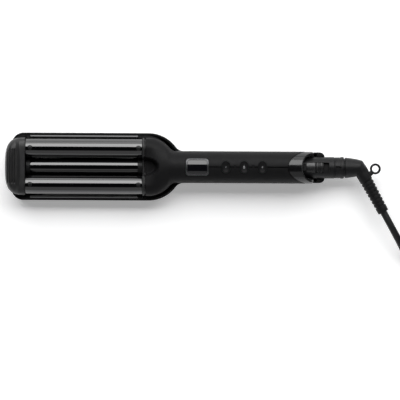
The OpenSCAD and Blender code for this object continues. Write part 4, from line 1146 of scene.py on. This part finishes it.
def finger_groove(x, y):
    """Depth of the straight finger grooves across the tip's mound."""
    along = (GRIP_X - x) / GRIP_PITCH
    nearest = min(max(round(along), 0), GRIP_COUNT - 1)
    wave = max(0, cos(min(1, 2.7 * abs(along - nearest)) * pi / 2))
    return GRIP_DEPTH * wave * float(smooth(GRIP_Y - abs(y)))


def stubs(start, end):
    """Short posts that carry the barrels' ends."""
    return [turned("stub", [(start, STUB_R), (end, STUB_R)], GRIP_BLACK,
                   (0, side * BARREL_Y, BARREL_Z), sides=48) for side in (-1, 1)]


def tip_point(u, a):
    """A point of the tip's dome, at a share of its outline and an angle round it."""
    x = CAP_X - LIP - (CAP_L - LIP) * u * abs(cos(a)) ** TIP_POWER
    y = CAP_HALF * u * copysign(abs(sin(a)) ** TIP_POWER, sin(a))
    arch = max(0, 1 - max(0, 1 - (1 - u) / ROUND_RUN) ** ROUND_POWER) ** (1 / ROUND_POWER)
    mound_x = CAP_X - 3.6 - 2.3 * (y / CAP_HALF) ** 2
    top = mix(FLARE_Z, CAP_TOP, float(smooth((mound_x - x) / MOUND_RUN)))
    return x, y, mix(CAP_SIDE, top, arch) - finger_groove(x, y)


def add_tip_cap():
    """The cool tip: nested shares of its outline, eased to a lip at the barrels.

    On the +Y side the lip's two points come two places early in each row, which folds a
    strip up to 2.1 mm wide over itself. The fold is known and left.
    """
    us = [1, 0.995, 0.985, 0.97]
    us += list(np.arange(0.955, 0.42, -0.0075)) + list(np.linspace(0.41, 0.03, 22))
    angles = np.linspace(-pi / 2, pi / 2, 161)

    def row(u, z=None):
        points = [tip_point(u, a) for a in angles]
        eases = ((0, LIP), (0.12, 0.12))
        if z is not None:
            points = [(x, y, z) for x, y, _ in points]
            eases = ((0, 0), (0.12, 0))
        near, far = [[(CAP_X - run, y, height - drop) for run, drop in eases]
                     for _, y, height in (points[0], points[-1])]
        return near + points[:-2] + far[::-1] + points[-2:]

    rows = [row(0.99, UP_RIM), row(1, UP_RIM + 0.35)] + [row(u) for u in us]
    lines = grid_rows(len(rows), len(rows[0]))
    faces = grid_faces(lines) + [tuple(lines[0]), tuple(lines[-1])]
    faces.append(tuple([line[0] for line in lines] + [line[-1] for line in reversed(lines)]))
    dome = mesh_piece("dome", np.concatenate(rows), faces, GRIP_BLACK, 50)
    place(joined("tip_grip", [dome] + stubs(CAP_X - 1, CAP_X + STUB_L)), "upper_arm",
          "black_plastic", "tip_cap")


def add_collar():
    """The heat collar in front of the dome, with a groove behind it."""
    end = DOME_X - 0.05
    groove_at = end - 0.75
    loops = []
    for x, inset in ((COLLAR_X, 1.1), (COLLAR_X + 0.12, 0.75), (COLLAR_X + 0.35, 0.45),
                     (COLLAR_X + 0.7, 0.3), (groove_at - 0.7, 0.3), (groove_at - 0.3, 0.5),
                     (groove_at - 0.1, 0.8), (groove_at, 1.2), (groove_at + 0.02, 2.1),
                     (end, 2.1)):
        loop = up_section(DOME_X, inset)
        loop[:, 0] = x
        loops.append(loop)
    band = loops_piece("band", loops, GRIP_BLACK)
    place(joined("heat_collar", [band] + stubs(COLLAR_X - STUB_L, COLLAR_X + 1)), "upper_arm",
          "black_plastic", "barrel_collar")


SCREW_X = (CAP_X + 5.2, COLLAR_X - 3.8)
SCREW_R = 2.25
BARREL_END = ((0, 0.5), (0.15, 0.15), (0.5, 0))


def add_barrels():
    """The two ceramic tubes, with a hole for each screw."""
    x0, x1 = BARREL_X
    bore = BARREL_R - BARREL_WALL
    for side, node in ((1, "barrel_left"), (-1, "barrel_right")):
        centre = (0, side * BARREL_Y, BARREL_Z)
        profile = [(x0, bore)] + [(x0 + run, BARREL_R - drop) for run, drop in BARREL_END]
        profile += [(x, BARREL_R) for x in np.linspace(x0 + 12, x1 - 12, 6)]
        profile += [(x1 - run, BARREL_R - drop) for run, drop in BARREL_END[::-1]]
        profile += [(x1, bore), (x0, bore)]
        barrel = turned("skin_" + node, profile, CERAMIC, centre, sides=144, caps=False)
        holes = [turned("hole", [(BARREL_Z + 5, SCREW_R + 0.1),
                                 (BARREL_Z + BARREL_R - 0.75, SCREW_R + 0.1),
                                 (BARREL_Z + BARREL_R + 0.5, SCREW_R + 0.9)],
                        CERAMIC, (x, side * BARREL_Y, 0), axis="z", sides=48)
                 for x in SCREW_X]
        place(cut(barrel, *holes), "upper_arm", "ceramic_black", node)


HEAD = ((-5, 1.1), (-0.3, 1.1), (-0.3, 2.15), (1.1, 2.25), (1.35, 2.1), (1.55, 1.65),
        (1.68, 0.95), (1.72, 0.3))


def add_screws():
    """Four round heads with cross slots, on the barrels."""
    screws = []
    seat = BARREL_Z + STUB_R
    for x, side in ((x, side) for x in SCREW_X for side in (-1, 1)):
        y = side * BARREL_Y
        head = turned("head", [(seat + rise, radius) for rise, radius in HEAD], DARK_STEEL,
                      (x, y, 0), axis="z", sides=32)
        screws.append(cut(head, *[prism("arm", rounded_box(*half, 0.1, 2, (x, y)), seat + 0.9,
                                        seat + 2.5, DARK_STEEL)
                                  for half in ((1.25, 0.24), (0.24, 1.25))]))
    place(joined("barrel_screw_heads", screws), "upper_arm", "steel", "barrel_screws")


# ---- Put-away cord ----

PLUG_STATIONS = ((0, 16.6, 6.2, 5), (0.35, 17.1, 6.7, 5), (1, 17.45, 6.95, 4.5),
                 (6, 17.6, 7.0, 4), (10, 17.5, 7.0, 3.6), (14, 16.4, 6.9, 3.3),
                 (18, 14.2, 6.7, 3), (22, 11.9, 6.5, 2.8), (26, 10.0, 6.3, 2.6),
                 (29.4, 9.0, 6.1, 2.4), (30, 8.4, 5.8, 2.3))
PLUG_END = ((43.4, 4.5, 4.5, 2), (44, 4.1, 4.1, 2), (44, 3.4, 3.4, 2))
PLUG_RIB_X = 30
PLUG_RIB_PITCH = 2.3
PLUG_RIB = ((0.2, 0), (1.3, 0), (1.5, 0.7), (2.2, 0.7))
PIN_POINT = ((0, 0.9), (0.3, 1.5), (0.9, 1.9), (1.6, 2))
PIN_R = 2


def add_plug():
    """The moulded plug with a ribbed end, and its two round pins."""
    x0 = low("plug_body")[0]
    y = centre_of("plug_body")[1]
    z = (high("plug_body")[2] - low("plug_body")[2]) / 2
    stations = list(PLUG_STATIONS)
    for i in range(5):
        r = mix(6, 4.6, i / 5)
        stations += [(PLUG_RIB_X + i * PLUG_RIB_PITCH + run, r - drop, r - drop, 2)
                     for run, drop in PLUG_RIB]
    angles = np.arange(72) * 2 * pi / 72
    c, s = np.cos(angles), np.sin(angles)
    loops = [at_x(x0 + along, y + half_y * np.sign(c) * abs(c) ** (2 / power),
                  z + half_z * np.sign(s) * abs(s) ** (2 / power))
             for along, half_y, half_z, power in (*stations, *PLUG_END)]
    body = place(loops_piece("plug_skin", loops, CORD_RUBBER), "swivel", "cord_rubber",
                 "plug_body")
    start, end = low("plug_pins")[0], high("plug_pins")[0]
    off_centre = (high("plug_pins")[1] - low("plug_pins")[1]) / 2 - PIN_R
    profile = [(start + run, radius) for run, radius in PIN_POINT] + [(end, PIN_R)]
    pins = [turned("pin", profile, BRASS, (0, y + side * off_centre, z), sides=40)
            for side in (-1, 1)]
    pins = place(joined("plug_pin_pair", pins), "swivel", "brass", "plug_pins")
    return body, pins


TIE_TURN = radians(101)
TIE_HALF = 5
TIE_THICK = 0.6


def add_tie():
    """A strap round the coil's turns."""
    way = np.array([cos(TIE_TURN), sin(TIE_TURN), 0])
    side = np.array([-way[1], way[0], 0])
    centre = np.array(COIL_CENTRE + (0,)) / MM
    inner = (COIL_R - COIL_PITCH * COIL_TURNS - CORD_D / 2) / MM - 0.4
    outer = (COIL_R + CORD_D / 2) / MM + 0.3
    top = high("cord_tie")[2]
    path = np.array(rounded_box((outer - inner + TIE_THICK) / 2, (top - TIE_THICK) / 2, 3, 6,
                                ((inner + outer) / 2, top / 2)))
    section = rounded_box(TIE_HALF, TIE_THICK / 2, TIE_THICK * 0.45, 3)
    loops = []
    for i, (r, z) in enumerate(path):
        tangent = path[(i + 1) % len(path)] - path[i - 1]
        across, up = np.array([tangent[1], -tangent[0]]) / np.linalg.norm(tangent)
        loops.append([centre + (r + v * across) * way + u * side + (0, 0, z + v * up)
                      for u, v in section])
    return place(loops_piece("cord_strap", loops, STRAP, ring=True), "swivel", "strap",
                 "cord_tie")


add_lower_shell()
add_wave_plate()
add_tail()
add_slider()
add_swivel_collar()
elbow_skin = add_elbow()
add_upper_shell()
for button_x, (button_body, button_node) in zip(BUTTON_X, BUTTONS):
    add_button(button_x, button_body, button_node)
add_icons()
add_display()
add_hinge_cap()
add_tip_cap()
add_collar()
add_barrels()
add_screws()
plug_skin, pin_pair = add_plug()
strap = add_tie()
